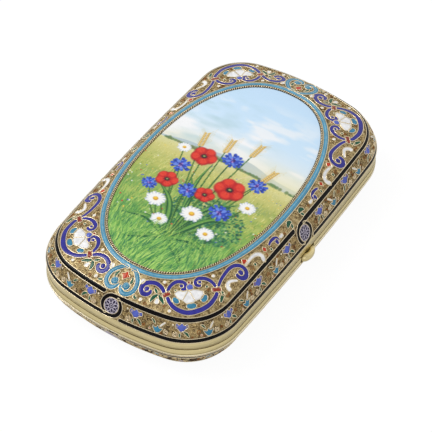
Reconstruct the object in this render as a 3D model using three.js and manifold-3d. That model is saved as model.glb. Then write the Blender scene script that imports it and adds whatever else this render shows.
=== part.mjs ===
// A hinged cigarette case in silver gilt with cloisonné enamel and a painted oval plaque.
// Millimetres, +Z up. The origin is the middle of the flat back.
// +X points to the catch, -X to the hinge and +Y to the top of the picture.

import * as THREE from 'three';
import { mergeVertices } from 'three/addons/utils/BufferGeometryUtils.js';
import Module from 'manifold-3d';

const wasm = await Module();
wasm.setup();

// Driving sizes of the outline
const HALF_WIDTH = 31.8;
const HALF_LENGTH = 55;
const CORNER_RADIUS = 17.4;
const SIDE_BOW = 1.6; // how far a long side bulges at its middle
const END_BOW = 5.9; // how far a short end bulges at its middle

// Driving heights and the shoulder's slope
const BACK_EDGE_RISE = 0.47; // the shoulder starts this far above the flat back
const SHOULDER_HEIGHT = 6.3;
const SHOULDER_INSET = 3.2;
const SHOULDER_BULGE_HEIGHT = 0.3;
const BASE_RIM_HEIGHT = 2.83;
const LID_RIM_HEIGHT = 2.93;
const TOP_RISE = 3; // from the upper black line to the oval
const TOP_FULLNESS = 0.25; // how convex the border panel is
const PICTURE_RISE = 0.9;

// The oval at the middle of the turquoise ring
const OVAL_SIDE_MARGIN = 3.7; // from the upper black line to the oval at the long sides
const OVAL_END_MARGIN = 9.1; // and at the short ends
const OVAL_EXPONENT = 2.3; // 2 is an ellipse
const OVAL_RING_WIDTH = 1.6;
const ROPE_WIDTH = 0.6;
const ROPE_PROUD = 0.35;

// Thicknesses and clearances
const ENAMEL = 0.6;
const WALL = 0.8;
const RIM_THICKNESS = 2;
const LIP_THICKNESS = 0.8;
const LIP_REACH = 1.8; // how far the lip stands above the seam
const GAP = 0.3; // clearance between neighbouring pieces
const BED = 0.35; // clearance under an enamel skin
const SEAM_GAP = 0.3;
const RIM_EASE = 0.3; // how far the rims' edges are eased in at the seam
const LOWER_LINE_HEIGHT = 1;
const UPPER_LINE_WIDTH = 1.2;
const LINE_PROUD = 0.15;
const BACK_BEVEL = 1.8; // width of the back panel's eased edge
const BACK_EASE = 0.25;
const ROUNDEL_PROUD = 0.25;

// Hinge
const HINGE_LENGTH = 66;
const KNUCKLES = 5;
const KNUCKLE_RADIUS = 1.25;
const PIN_RADIUS = 0.5;
const PIN_CLEARANCE = 0.3;
const PIN_END = 0.4; // how far the pin stands out of the last knuckle

// Catch
const THUMB_LENGTH = 6.4;
const THUMB_REACH = 1.75;
const THUMB_HEIGHT = 2.5;
const THUMB_SET_IN = 0.2; // how far the thumb piece starts inside the rim's face
const CATCH_TRAVEL = 0.8;
const STEM_WIDTH = 3.6;
const STEM_HEIGHT = 1.4;
const KEEPER_THICKNESS = 0.6;
const KEEPER_WIDTH = 4.4;
const KEEPER_HEIGHT = 2.6;
const WINDOW_WIDTH = 2.8;
const WINDOW_HEIGHT = 1.2;
const ARM_THICKNESS = 0.6;
const NIB_REACH = 0.4;
const SPRING_THICKNESS = 0.25;
const SPRING_BOW = 1.1;
const SPRING_LENGTH = 6;
const SPRING_HEIGHT = 1.6;
const BRACKET_THICKNESS = 0.5;

// Elastic bands and their clips
const BAND_OFFSET = 14; // each band lies this far from the middle, on its own side
const BAND_WIDTH = 6;
const BAND_THICKNESS = 0.6;
const CLIP_THICKNESS = 1.2;
const CLIP_WIDTH = 7.4;
const CLIP_HEIGHT = 1.1;

// Facets of a quarter of the outline
const SIDE_STEPS = 4;
const CORNER_STEPS = 6;
const END_STEPS = 3;
const QUARTER = SIDE_STEPS + CORNER_STEPS + END_STEPS;
const LOOP = 4 * QUARTER;
const TUBE_SIDES = 16;
const MERGE_DISTANCE = 1e-5; // corners closer than this are one corner

// Levels from the back up
const Z_BASE_RIM = BACK_EDGE_RISE + SHOULDER_HEIGHT;
const Z_SEAM = Z_BASE_RIM + BASE_RIM_HEIGHT;
const Z_LID_RIM = Z_SEAM + LID_RIM_HEIGHT;
const Z_TOP_LINE = Z_LID_RIM + SHOULDER_HEIGHT;
const Z_OVAL = Z_TOP_LINE + TOP_RISE;
const SHELL_DEPTH = ENAMEL + BED;
const Z_FLOOR = SHELL_DEPTH + WALL;
const Z_LIP_TOP = Z_SEAM + LIP_REACH;

// The oval keeps its margins to the upper black line
const OVAL_HALF_WIDTH = HALF_WIDTH - SHOULDER_INSET - OVAL_SIDE_MARGIN;
const OVAL_HALF_LENGTH = HALF_LENGTH - SHOULDER_INSET - OVAL_END_MARGIN;
const MID_SCALE = 0.5; // the facets' ring between the oval and the middle

// Materials
function finish(color, roughness, metalness) {
  return new THREE.MeshStandardMaterial({ color, roughness, metalness });
}
const gilt = finish(0xd0b26c, 0.32, 1);
const cloisonne = finish(0xa99c7c, 0.4, 0.4);
const blackEnamel = finish(0x08080c, 0.12, 0);
const turquoiseEnamel = finish(0x4796bf, 0.15, 0);
const violetEnamel = finish(0x3a3470, 0.2, 0.2);
const paintedEnamel = finish(0x9fc37a, 0.1, 0);
const springSteel = finish(0x8d9094, 0.35, 1);
const elastic = finish(0x6d2a2e, 0.85, 0);

// Outline: the side, corner and end arcs are tangent, and an inset only shortens their radii
const SIDE_RADIUS = (HALF_LENGTH ** 2 + SIDE_BOW ** 2) / (2 * SIDE_BOW);
const END_RADIUS = (HALF_WIDTH ** 2 + END_BOW ** 2) / (2 * END_BOW);
const sideCentre = new THREE.Vector2(HALF_WIDTH - SIDE_RADIUS, 0);
const endCentre = new THREE.Vector2(0, HALF_LENGTH - END_RADIUS);
const cornerCentre = findCornerCentre();
const cornerStart = cornerCentre.clone().sub(sideCentre).angle();
const cornerEnd = cornerCentre.clone().sub(endCentre).angle();

function findCornerCentre() {
  const fromSide = SIDE_RADIUS - CORNER_RADIUS;
  const fromEnd = END_RADIUS - CORNER_RADIUS;
  const across = endCentre.clone().sub(sideCentre);
  const distance = across.length();
  const along = (fromSide ** 2 - fromEnd ** 2 + distance ** 2) / (2 * distance);
  const aside = Math.sqrt(fromSide ** 2 - along ** 2);
  const unit = across.divideScalar(distance);
  const normal = new THREE.Vector2(-unit.y, unit.x);
  return sideCentre.clone().addScaledVector(unit, along).addScaledVector(normal, aside);
}

// A point of the outline's first quarter: u runs from 0 at the long side's middle to QUARTER
function outlinePoint(u, inset) {
  let centre = sideCentre;
  let radius = SIDE_RADIUS;
  let angle = (cornerStart * u) / SIDE_STEPS;
  if (u > SIDE_STEPS + CORNER_STEPS) {
    centre = endCentre;
    radius = END_RADIUS;
    const share = (u - SIDE_STEPS - CORNER_STEPS) / END_STEPS;
    angle = cornerEnd + (Math.PI / 2 - cornerEnd) * share;
  } else if (u > SIDE_STEPS) {
    centre = cornerCentre;
    radius = CORNER_RADIUS;
    angle = cornerStart + ((cornerEnd - cornerStart) * (u - SIDE_STEPS)) / CORNER_STEPS;
  }
  const reach = radius - inset;
  return new THREE.Vector2(centre.x + reach * Math.cos(angle), centre.y + reach * Math.sin(angle));
}

// The oval's point that faces the outline's point at u
function ovalPoint(u, grow) {
  const edge = outlinePoint(u, 0);
  const angle = Math.atan2(edge.y / HALF_LENGTH, edge.x / HALF_WIDTH);
  const power = 2 / OVAL_EXPONENT;
  const x = Math.max(Math.cos(angle), 0) ** power;
  const y = Math.max(Math.sin(angle), 0) ** power;
  return new THREE.Vector2((OVAL_HALF_WIDTH + grow) * x, (OVAL_HALF_LENGTH + grow) * y);
}

// A point of the shoulder: t runs from 0 at the rim to 1 at the black line, depth goes into the wall
const SLANT = Math.hypot(SHOULDER_INSET, SHOULDER_HEIGHT);
function shoulder(t, depth) {
  const out = SHOULDER_BULGE_HEIGHT * Math.sin(Math.PI * t) - depth;
  const inset = SHOULDER_INSET * t - (out * SHOULDER_HEIGHT) / SLANT;
  const rise = SHOULDER_HEIGHT * t + (out * SHOULDER_INSET) / SLANT;
  return { inset, rise };
}

// Loops of points round the case, mirrored from the first quarter
function loopOf(quarterPoint) {
  const points = [];
  for (let i = 0; i < LOOP; i += 1) {
    const turn = Math.floor(i / QUARTER);
    const step = i % QUARTER;
    const p = quarterPoint(turn % 2 === 0 ? step : QUARTER - step);
    points.push([turn === 1 || turn === 2 ? -p.x : p.x, turn > 1 ? -p.y : p.y, p.z]);
  }
  return points;
}

function flatLoop(inset, z) {
  return loopOf((u) => {
    const p = outlinePoint(u, inset);
    return new THREE.Vector3(p.x, p.y, z);
  });
}

function lidShoulderLoop(t, depth) {
  const { inset, rise } = shoulder(t, depth);
  return flatLoop(inset, Z_LID_RIM + rise);
}

function baseShoulderLoop(t, depth) {
  const { inset, rise } = shoulder(t, depth);
  return flatLoop(inset, Z_BASE_RIM - rise);
}

// The lid's top between its edge and the oval: a share tells how far across a loop lies
function topLoop(shareOf, depth) {
  return loopOf((u) => {
    const edge = outlinePoint(u, SHOULDER_INSET);
    const oval = ovalPoint(u, 0);
    const share = shareOf(edge.distanceTo(oval));
    const p = edge.lerp(oval, share);
    const climb = share + TOP_FULLNESS * share * (1 - share);
    return new THREE.Vector3(p.x, p.y, Z_TOP_LINE + TOP_RISE * climb - depth);
  });
}

function fromEdge(distance) {
  return (width) => distance / width;
}

function fromOval(distance) {
  return (width) => 1 - distance / width;
}

function midway(edgeDistance, ovalDistance) {
  return (width) => (edgeDistance / width + 1 - ovalDistance / width) / 2;
}

// The domed picture inside the oval: share is 1 at the oval and 0 at the middle
function pictureHeight(share) {
  return Z_OVAL + PICTURE_RISE * (1 - share ** 2);
}

function ovalLoop(shrink, scale, depth) {
  const share = scale * (1 - shrink / OVAL_HALF_WIDTH);
  return loopOf((u) => {
    const p = ovalPoint(u, -shrink).multiplyScalar(scale);
    return new THREE.Vector3(p.x, p.y, pictureHeight(share) - depth);
  });
}

// Closed bodies from loops
function closedGeometry(vertices, triangles) {
  let volume = 0;
  const corner = triangles.map(([a, b, c]) => [a, b, c].map((i) => new THREE.Vector3(...vertices[i])));
  corner.forEach(([a, b, c]) => {
    volume += a.dot(b.clone().cross(c));
  });
  const facing = volume > 0 ? triangles : triangles.map(([a, b, c]) => [a, c, b]);
  const geometry = new THREE.BufferGeometry();
  geometry.setAttribute('position', new THREE.Float32BufferAttribute(vertices.flat(), 3));
  geometry.setIndex(facing.flat());
  geometry.computeVertexNormals();
  return geometry;
}

function joinLoops(triangles, first, second, count) {
  for (let i = 0; i < count; i += 1) {
    const next = (i + 1) % count;
    triangles.push([first + i, first + next, second + next]);
    triangles.push([first + i, second + next, second + i]);
  }
}

// A ring: the loops follow its section all the way round
function ringSolid(loops) {
  const triangles = [];
  loops.forEach((loop, k) => {
    joinLoops(triangles, k * LOOP, ((k + 1) % loops.length) * LOOP, LOOP);
  });
  return closedGeometry(loops.flat(), triangles);
}

// A plate or a bowl: the loops run from the middle of one face to the middle of the other
function bowlSolid(startZ, loops, endZ) {
  const vertices = [...loops.flat(), [0, 0, startZ], [0, 0, endZ]];
  const start = vertices.length - 2;
  const last = (loops.length - 1) * LOOP;
  const triangles = [];
  for (let i = 0; i < LOOP; i += 1) {
    const next = (i + 1) % LOOP;
    triangles.push([start, next, i]);
    triangles.push([start + 1, last + i, last + next]);
  }
  for (let k = 0; k + 1 < loops.length; k += 1) {
    joinLoops(triangles, k * LOOP, (k + 1) * LOOP, LOOP);
  }
  return closedGeometry(vertices, triangles);
}

// A quarter of a band: rails are pairs of outer and inner points at each station
function quarterSolid(stations) {
  const outer = stations[0].outer.length;
  const count = 2 * outer;
  const vertices = stations.flatMap(({ outer: o, inner: i }) => [...o, ...[...i].reverse()]);
  const triangles = [];
  for (let k = 0; k + 1 < stations.length; k += 1) {
    joinLoops(triangles, k * count, (k + 1) * count, count);
  }
  const end = (stations.length - 1) * count;
  for (let i = 0; i + 1 < outer; i += 1) {
    const far = count - 1 - i;
    triangles.push([i, far, i + 1], [i + 1, far, far - 1]);
    triangles.push([end + i, end + i + 1, end + far], [end + i + 1, end + far - 1, end + far]);
  }
  return closedGeometry(vertices, triangles);
}

function box(low, high) {
  const size = high.map((value, i) => value - low[i]);
  const geometry = new THREE.BoxGeometry(...size);
  return geometry.translate(...high.map((value, i) => (value + low[i]) / 2));
}

function rodAlongY(radius, length, x, z) {
  return new THREE.CylinderGeometry(radius, radius, length, TUBE_SIDES).translate(x, 0, z);
}

// Joins and cuts
function toManifold(geometry) {
  const bare = geometry.clone();
  bare.deleteAttribute('normal');
  bare.deleteAttribute('uv');
  const merged = mergeVertices(bare, MERGE_DISTANCE);
  return new wasm.Manifold(
    new wasm.Mesh({
      numProp: 3,
      vertProperties: new Float32Array(merged.attributes.position.array),
      triVerts: new Uint32Array(merged.index.array),
    }),
  );
}

function toGeometry(solid) {
  const mesh = solid.getMesh();
  const geometry = new THREE.BufferGeometry();
  geometry.setAttribute('position', new THREE.BufferAttribute(mesh.vertProperties, 3));
  geometry.setIndex(new THREE.BufferAttribute(mesh.triVerts, 1));
  geometry.computeVertexNormals();
  return geometry;
}

function cut(geometry, cutters) {
  const less = (solid, cutter) => solid.subtract(toManifold(cutter));
  return toGeometry(cutters.reduce(less, toManifold(geometry)));
}

function join(first, second) {
  return toGeometry(toManifold(first).add(toManifold(second)));
}

// Scene graph: one group for each body that moves as one
const cigaretteCase = new THREE.Group();
const base = new THREE.Group();
const lid = new THREE.Group();
const catchGroup = new THREE.Group();
cigaretteCase.add(base, lid, catchGroup);

function place(group, name, geometry, material) {
  const mesh = new THREE.Mesh(geometry, material);
  mesh.name = name;
  group.add(mesh);
  return mesh;
}

// Places that the hinge, the catch and the walls share
const hingeX = -HALF_WIDTH;
const rimInside = HALF_WIDTH - RIM_THICKNESS;
const lipOuterInset = RIM_THICKNESS + GAP;
const lipInnerInset = lipOuterInset + LIP_THICKNESS;
const lipInside = HALF_WIDTH - lipInnerInset;
const thumbTop = Z_SEAM - SEAM_GAP;
const thumbMiddle = thumbTop - THUMB_HEIGHT / 2;
const keeperOuter = rimInside - GAP;
const keeperInner = keeperOuter - KEEPER_THICKNESS;
const keeperTop = Z_LIP_TOP + KEEPER_HEIGHT / 2;
const keeperBottom = keeperTop - KEEPER_HEIGHT;
const nibTip = keeperInner - GAP;
const armOuter = nibTip - NIB_REACH;
const armInner = armOuter - ARM_THICKNESS;
const springFace = armInner - GAP;
const bracketOuter = springFace - SPRING_BOW - SPRING_THICKNESS;
const bracketInner = bracketOuter - BRACKET_THICKNESS;

// Rims: two plain bands, one each side of the seam
const hingeNotch = rodAlongY(KNUCKLE_RADIUS + GAP, HINGE_LENGTH + 2 * (PIN_END + GAP), hingeX, Z_SEAM);

function rimRing(seamSide, farSide) {
  const ease = Math.sign(farSide - seamSide) * RIM_EASE;
  return ringSolid([
    flatLoop(RIM_EASE, seamSide),
    flatLoop(0, seamSide + ease),
    flatLoop(0, farSide - ease),
    flatLoop(RIM_EASE / 2, farSide),
    flatLoop(RIM_THICKNESS, farSide),
    flatLoop(RIM_THICKNESS, seamSide),
  ]);
}

const thumbPocket = box(
  [HALF_WIDTH - THUMB_SET_IN - CATCH_TRAVEL - GAP, -THUMB_LENGTH / 2 - GAP, Z_BASE_RIM - GAP],
  [HALF_WIDTH + GAP, THUMB_LENGTH / 2 + GAP, Z_SEAM + GAP],
);
const stemSlot = box(
  [lipInside - GAP, -STEM_WIDTH / 2 - GAP, thumbMiddle - STEM_HEIGHT / 2 - GAP],
  [HALF_WIDTH, STEM_WIDTH / 2 + GAP, thumbMiddle + STEM_HEIGHT / 2 + GAP],
);
const lipWindow = box(
  [lipInside - GAP, -KEEPER_WIDTH / 2 - GAP, thumbMiddle - STEM_HEIGHT / 2 - GAP],
  [rimInside, KEEPER_WIDTH / 2 + GAP, Z_LIP_TOP + GAP],
);

place(lid, 'lid_rim', cut(rimRing(Z_SEAM + SEAM_GAP / 2, Z_LID_RIM), [hingeNotch]), gilt);
const baseRim = cut(rimRing(Z_SEAM - SEAM_GAP / 2, Z_BASE_RIM), [hingeNotch, thumbPocket, stemSlot]);
place(base, 'base_rim', baseRim, gilt);

// Lip: the inner collar that stands above the seam inside the lid
const lipRing = ringSolid([
  flatLoop(lipOuterInset, Z_BASE_RIM),
  flatLoop(lipOuterInset, Z_LIP_TOP),
  flatLoop(lipInnerInset, Z_LIP_TOP),
  flatLoop(lipInnerInset, Z_BASE_RIM),
]);
place(base, 'base_lip', cut(lipRing, [lipWindow]), gilt);

// Shells: thin sheet under the enamels
const lidShell = bowlSolid(
  pictureHeight(0) - SHELL_DEPTH,
  [
    ovalLoop(0, MID_SCALE, SHELL_DEPTH),
    ovalLoop(0, 1, SHELL_DEPTH),
    lidShoulderLoop(1, SHELL_DEPTH),
    lidShoulderLoop(0.5, SHELL_DEPTH),
    flatLoop(SHELL_DEPTH, Z_LID_RIM),
    flatLoop(RIM_THICKNESS, Z_LID_RIM),
    flatLoop(RIM_THICKNESS, Z_LID_RIM + WALL),
    lidShoulderLoop(0.5, SHELL_DEPTH + WALL),
    lidShoulderLoop(1, SHELL_DEPTH + WALL),
    ovalLoop(0, 1, SHELL_DEPTH + WALL),
    ovalLoop(0, MID_SCALE, SHELL_DEPTH + WALL),
  ],
  pictureHeight(0) - SHELL_DEPTH - WALL,
);
place(lid, 'lid_shell', lidShell, gilt);

const innerCorner = shoulder(1, SHELL_DEPTH + WALL).inset;
const baseShell = bowlSolid(
  SHELL_DEPTH,
  [
    flatLoop(shoulder(1, SHELL_DEPTH).inset, SHELL_DEPTH),
    baseShoulderLoop(0.5, SHELL_DEPTH),
    flatLoop(SHELL_DEPTH, Z_BASE_RIM),
    flatLoop(lipInnerInset, Z_BASE_RIM),
    flatLoop(lipInnerInset, Z_BASE_RIM - WALL),
    baseShoulderLoop(0.5, SHELL_DEPTH + WALL),
    flatLoop(innerCorner, Z_FLOOR),
  ],
  Z_FLOOR,
);
place(base, 'base_shell', baseShell, gilt);

// Black lines: one each side of every shoulder
const lineShare = UPPER_LINE_WIDTH / 2 / SLANT;
function rimLine(z, direction) {
  return ringSolid([
    flatLoop(0, z),
    flatLoop(0, z + direction * LOWER_LINE_HEIGHT),
    flatLoop(ENAMEL, z + direction * LOWER_LINE_HEIGHT),
    flatLoop(ENAMEL, z),
  ]);
}
place(lid, 'lid_lower_line', rimLine(Z_LID_RIM, 1), blackEnamel);
place(base, 'base_upper_line', rimLine(Z_BASE_RIM, -1), blackEnamel);

const lidUpperLine = ringSolid([
  lidShoulderLoop(1 - lineShare, 0),
  lidShoulderLoop(1, -LINE_PROUD),
  topLoop(fromEdge(UPPER_LINE_WIDTH / 2), 0),
  topLoop(fromEdge(UPPER_LINE_WIDTH / 2), ENAMEL),
]);
place(lid, 'lid_upper_line', lidUpperLine, blackEnamel);

const backLineInset = SHOULDER_INSET + UPPER_LINE_WIDTH / 2;
const baseBackLine = ringSolid([
  baseShoulderLoop(1 - lineShare, 0),
  baseShoulderLoop(1, -LINE_PROUD),
  flatLoop(backLineInset, BACK_EASE),
  flatLoop(backLineInset, BACK_EASE + ENAMEL),
]);
place(base, 'base_back_line', baseBackLine, blackEnamel);

// Shoulder bands: four enamel quarters on each half, with a roundel between each two
const bandStart = (LOWER_LINE_HEIGHT + GAP) / SHOULDER_HEIGHT;
const bandEnd = 1 - lineShare - GAP / SLANT;
const roundelRadius = ((bandEnd - bandStart) * SLANT) / 2 - GAP;
const roundelSeat = roundelRadius + GAP;
const roundelPlace = (bandStart + bandEnd) / 2;

function bandStations(zStart, direction) {
  const first = (roundelSeat / SIDE_RADIUS / cornerStart) * SIDE_STEPS;
  const last = QUARTER - (roundelSeat / END_RADIUS / (Math.PI / 2 - cornerEnd)) * END_STEPS;
  const places = [first];
  for (let u = 1; u < QUARTER; u += 1) places.push(u);
  places.push(last);
  const rows = [bandStart, roundelPlace, bandEnd];
  function rail(u, depth) {
    return rows.map((t) => {
      const { inset, rise } = shoulder(t, depth);
      const p = outlinePoint(u, inset);
      return [p.x, p.y, zStart + direction * rise];
    });
  }
  return places.map((u) => ({ outer: rail(u, 0), inner: rail(u, ENAMEL) }));
}

function mirrorStations(stations, signX, signY) {
  const flip = (points) => points.map(([x, y, z]) => [signX * x, signY * y, z]);
  return stations.map(({ outer, inner }) => ({ outer: flip(outer), inner: flip(inner) }));
}

const corners = { far_catch: [1, 1], far_hinge: [-1, 1], near_hinge: [-1, -1], near_catch: [1, -1] };
function placeBands(group, prefix, zStart, direction) {
  const stations = bandStations(zStart, direction);
  Object.entries(corners).forEach(([corner, [signX, signY]]) => {
    const geometry = quarterSolid(mirrorStations(stations, signX, signY));
    place(group, `${prefix}_band_${corner}`, geometry, cloisonne);
  });
}
placeBands(lid, 'lid', Z_LID_RIM, 1);
placeBands(base, 'base', Z_BASE_RIM, -1);

const sides = { catch_side: 0, far_end: 1, hinge_side: 2, near_end: 3 };
function placeRoundels(group, prefix, zStart, direction) {
  const thickness = ENAMEL + ROUNDEL_PROUD;
  const { inset, rise } = shoulder(roundelPlace, ENAMEL - thickness / 2);
  Object.entries(sides).forEach(([side, quarterTurns]) => {
    const reach = (quarterTurns % 2 === 0 ? HALF_WIDTH : HALF_LENGTH) - inset;
    const angle = (quarterTurns * Math.PI) / 2;
    const outward = new THREE.Vector3(Math.cos(angle), Math.sin(angle), 0);
    const normal = outward.clone().multiplyScalar(SHOULDER_HEIGHT);
    normal.z = direction * SHOULDER_INSET;
    normal.normalize();
    const disc = new THREE.CylinderGeometry(roundelRadius, roundelRadius, thickness, TUBE_SIDES);
    const mesh = place(group, `${prefix}_roundel_${side}`, disc, violetEnamel);
    mesh.quaternion.setFromUnitVectors(new THREE.Vector3(0, 1, 0), normal);
    mesh.position.copy(outward.multiplyScalar(reach)).setZ(zStart + direction * rise);
  });
}
placeRoundels(lid, 'lid', Z_LID_RIM, 1);
placeRoundels(base, 'base', Z_BASE_RIM, -1);

// Lid top: scroll border, turquoise ring, rope wire and painted plaque
const borderEdge = UPPER_LINE_WIDTH / 2 + GAP;
const borderOval = OVAL_RING_WIDTH / 2 + GAP;
const borderPanel = ringSolid([
  topLoop(fromEdge(borderEdge), 0),
  topLoop(midway(borderEdge, borderOval), 0),
  topLoop(fromOval(borderOval), 0),
  topLoop(fromOval(borderOval), ENAMEL),
  topLoop(midway(borderEdge, borderOval), ENAMEL),
  topLoop(fromEdge(borderEdge), ENAMEL),
]);
place(lid, 'lid_border_panel', borderPanel, cloisonne);

const ringHalf = OVAL_RING_WIDTH / 2;
const turquoiseRing = ringSolid([
  topLoop(fromOval(ringHalf), 0),
  ovalLoop(ringHalf, 1, 0),
  ovalLoop(ringHalf, 1, ENAMEL),
  topLoop(fromOval(ringHalf), ENAMEL),
]);
place(lid, 'lid_turquoise_ring', turquoiseRing, turquoiseEnamel);

const ropeOuter = ringHalf + GAP;
const ropeInner = ropeOuter + ROPE_WIDTH;
const ropeBezel = ringSolid([
  ovalLoop(ropeOuter, 1, 0),
  ovalLoop((ropeOuter + ropeInner) / 2, 1, -ROPE_PROUD),
  ovalLoop(ropeInner, 1, 0),
  ovalLoop(ropeInner, 1, ENAMEL),
  ovalLoop(ropeOuter, 1, ENAMEL),
]);
place(lid, 'lid_rope_bezel', ropeBezel, gilt);

const pictureEdge = ropeInner + GAP;
const ovalPlaque = bowlSolid(
  pictureHeight(0),
  [
    ovalLoop(pictureEdge, MID_SCALE, 0),
    ovalLoop(pictureEdge, 1, 0),
    ovalLoop(pictureEdge, 1, ENAMEL),
    ovalLoop(pictureEdge, MID_SCALE, ENAMEL),
  ],
  pictureHeight(0) - ENAMEL,
);
place(lid, 'lid_oval_plaque', ovalPlaque, paintedEnamel);

// Back panel: flat in the middle, eased at its edge
const panelEdge = backLineInset + GAP;
const backPanel = bowlSolid(
  0,
  [flatLoop(panelEdge + BACK_BEVEL, 0), flatLoop(panelEdge, BACK_EASE), flatLoop(panelEdge, ENAMEL)],
  ENAMEL,
);
place(base, 'base_back_panel', backPanel, cloisonne);

// Hinge: knuckles by turns on the base and on the lid, with one pin through them
const knuckleLength = (HINGE_LENGTH - (KNUCKLES - 1) * GAP) / KNUCKLES;
function knuckleTube() {
  const bore = PIN_RADIUS + PIN_CLEARANCE;
  const half = knuckleLength / 2;
  const profile = [
    new THREE.Vector2(bore, -half),
    new THREE.Vector2(KNUCKLE_RADIUS, -half),
    new THREE.Vector2(KNUCKLE_RADIUS, half),
    new THREE.Vector2(bore, half),
    new THREE.Vector2(bore, -half),
  ];
  return new THREE.LatheGeometry(profile, TUBE_SIDES);
}
for (let i = 0; i < KNUCKLES; i += 1) {
  const onBase = i % 2 === 0;
  const number = Math.floor(i / 2) + 1;
  const name = `${onBase ? 'base' : 'lid'}_knuckle_${number}`;
  const y = (i - (KNUCKLES - 1) / 2) * (knuckleLength + GAP);
  place(onBase ? base : lid, name, knuckleTube(), gilt).position.set(hingeX, y, Z_SEAM);
}
place(base, 'hinge_pin', rodAlongY(PIN_RADIUS, HINGE_LENGTH + 2 * PIN_END, hingeX, Z_SEAM), gilt);

// Catch: a half-moon thumb piece on a stem, and the latch arm with its nib
function halfMoon() {
  const half = THUMB_LENGTH / 2;
  const shape = new THREE.Shape();
  const reach = THUMB_REACH + THUMB_SET_IN;
  shape.moveTo(0, -half);
  shape.absellipse(0, 0, reach, half, -Math.PI / 2, Math.PI / 2, false, 0);
  shape.closePath();
  const geometry = new THREE.ExtrudeGeometry(shape, {
    depth: THUMB_HEIGHT,
    bevelEnabled: false,
    curveSegments: 12,
  });
  return geometry.translate(HALF_WIDTH - THUMB_SET_IN, 0, thumbTop - THUMB_HEIGHT);
}
const stemLow = thumbMiddle - STEM_HEIGHT / 2;
const stemHigh = thumbMiddle + STEM_HEIGHT / 2;
const stem = box(
  [armOuter, -STEM_WIDTH / 2, stemLow],
  [HALF_WIDTH - THUMB_SET_IN + THUMB_REACH / 2, STEM_WIDTH / 2, stemHigh],
);
place(catchGroup, 'catch_thumbpiece', join(halfMoon(), stem), gilt);

const windowMiddle = (keeperTop + keeperBottom) / 2;
const nibHalf = WINDOW_HEIGHT / 2 - GAP / 2;
const arm = box([armInner, -STEM_WIDTH / 2, stemLow], [armOuter, STEM_WIDTH / 2, windowMiddle + nibHalf]);
const nib = box(
  [armInner, -WINDOW_WIDTH / 2 + GAP, windowMiddle - nibHalf],
  [nibTip, WINDOW_WIDTH / 2 - GAP, windowMiddle + nibHalf],
);
place(catchGroup, 'catch_latch', join(arm, nib), springSteel);

// Keeper: a plate with a window on the inside of the lid's rim
const keeperPlate = box(
  [keeperInner, -KEEPER_WIDTH / 2, keeperBottom],
  [keeperOuter, KEEPER_WIDTH / 2, keeperTop],
);
const keeperWindow = box(
  [keeperInner - GAP, -WINDOW_WIDTH / 2, windowMiddle - WINDOW_HEIGHT / 2],
  [keeperOuter + GAP, WINDOW_WIDTH / 2, windowMiddle + WINDOW_HEIGHT / 2],
);
place(lid, 'lid_keeper', cut(keeperPlate, [keeperWindow]), springSteel);

// Leaf spring: a bowed strip whose ends bear on the bracket and whose middle bears on the arm
function leafSpring() {
  const half = SPRING_LENGTH / 2;
  const radius = (half ** 2 + SPRING_BOW ** 2) / (2 * SPRING_BOW);
  const spread = Math.asin(half / radius);
  const shape = new THREE.Shape();
  shape.absarc(0, 0, radius, -spread, spread, false);
  shape.absarc(0, 0, radius + SPRING_THICKNESS, spread, -spread, true);
  shape.closePath();
  const geometry = new THREE.ExtrudeGeometry(shape, {
    depth: SPRING_HEIGHT,
    bevelEnabled: false,
    curveSegments: 8,
  });
  const middle = radius + SPRING_THICKNESS;
  return geometry.translate(springFace - middle, 0, thumbMiddle - SPRING_HEIGHT / 2);
}
place(base, 'catch_spring', leafSpring(), springSteel);

const bracket = box(
  [bracketInner, -SPRING_LENGTH / 2 - GAP, Z_FLOOR],
  [bracketOuter, SPRING_LENGTH / 2 + GAP, thumbTop],
);
place(base, 'catch_bracket', bracket, gilt);

// Elastic bands: one across each half, held by a clip at each wall
function placeBand(group, prefix, y, clipLow, wall) {
  const clipFace = wall - GAP;
  const clipBack = clipFace - CLIP_THICKNESS;
  const bandLow = clipLow + (CLIP_HEIGHT - BAND_THICKNESS) / 2;
  const clipY = [y - CLIP_WIDTH / 2, y + CLIP_WIDTH / 2];
  const clipHigh = clipLow + CLIP_HEIGHT;
  const catchClip = box([clipBack, clipY[0], clipLow], [clipFace, clipY[1], clipHigh]);
  const hingeClip = box([-clipFace, clipY[0], clipLow], [-clipBack, clipY[1], clipHigh]);
  place(group, `${prefix}_clip_catch_side`, catchClip, gilt);
  place(group, `${prefix}_clip_hinge_side`, hingeClip, gilt);
  const band = box(
    [-clipBack, y - BAND_WIDTH / 2, bandLow],
    [clipBack, y + BAND_WIDTH / 2, bandLow + BAND_THICKNESS],
  );
  place(group, `${prefix}_elastic_band`, band, elastic);
}
const clipBow = SIDE_RADIUS - Math.sqrt(SIDE_RADIUS ** 2 - (BAND_OFFSET + CLIP_WIDTH / 2) ** 2);
placeBand(base, 'base', -BAND_OFFSET, Z_SEAM - SEAM_GAP - CLIP_HEIGHT, lipInside - clipBow);
placeBand(lid, 'lid', BAND_OFFSET, Z_LIP_TOP + GAP, rimInside - clipBow);

export default cigaretteCase;
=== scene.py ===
# %% [markdown]
# # A hinged cigarette case with cloisonné enamel
#
# The case is two shallow trays of gilt silver, hinged along one long side. Flat gilt wires are
# soldered on the trays, the cells between them hold coloured glass, and an oval plaque of
# painted enamel fills the middle of the lid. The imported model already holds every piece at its
# real size, so this notebook only gives each one its surface. It starts by loading that model.

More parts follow.
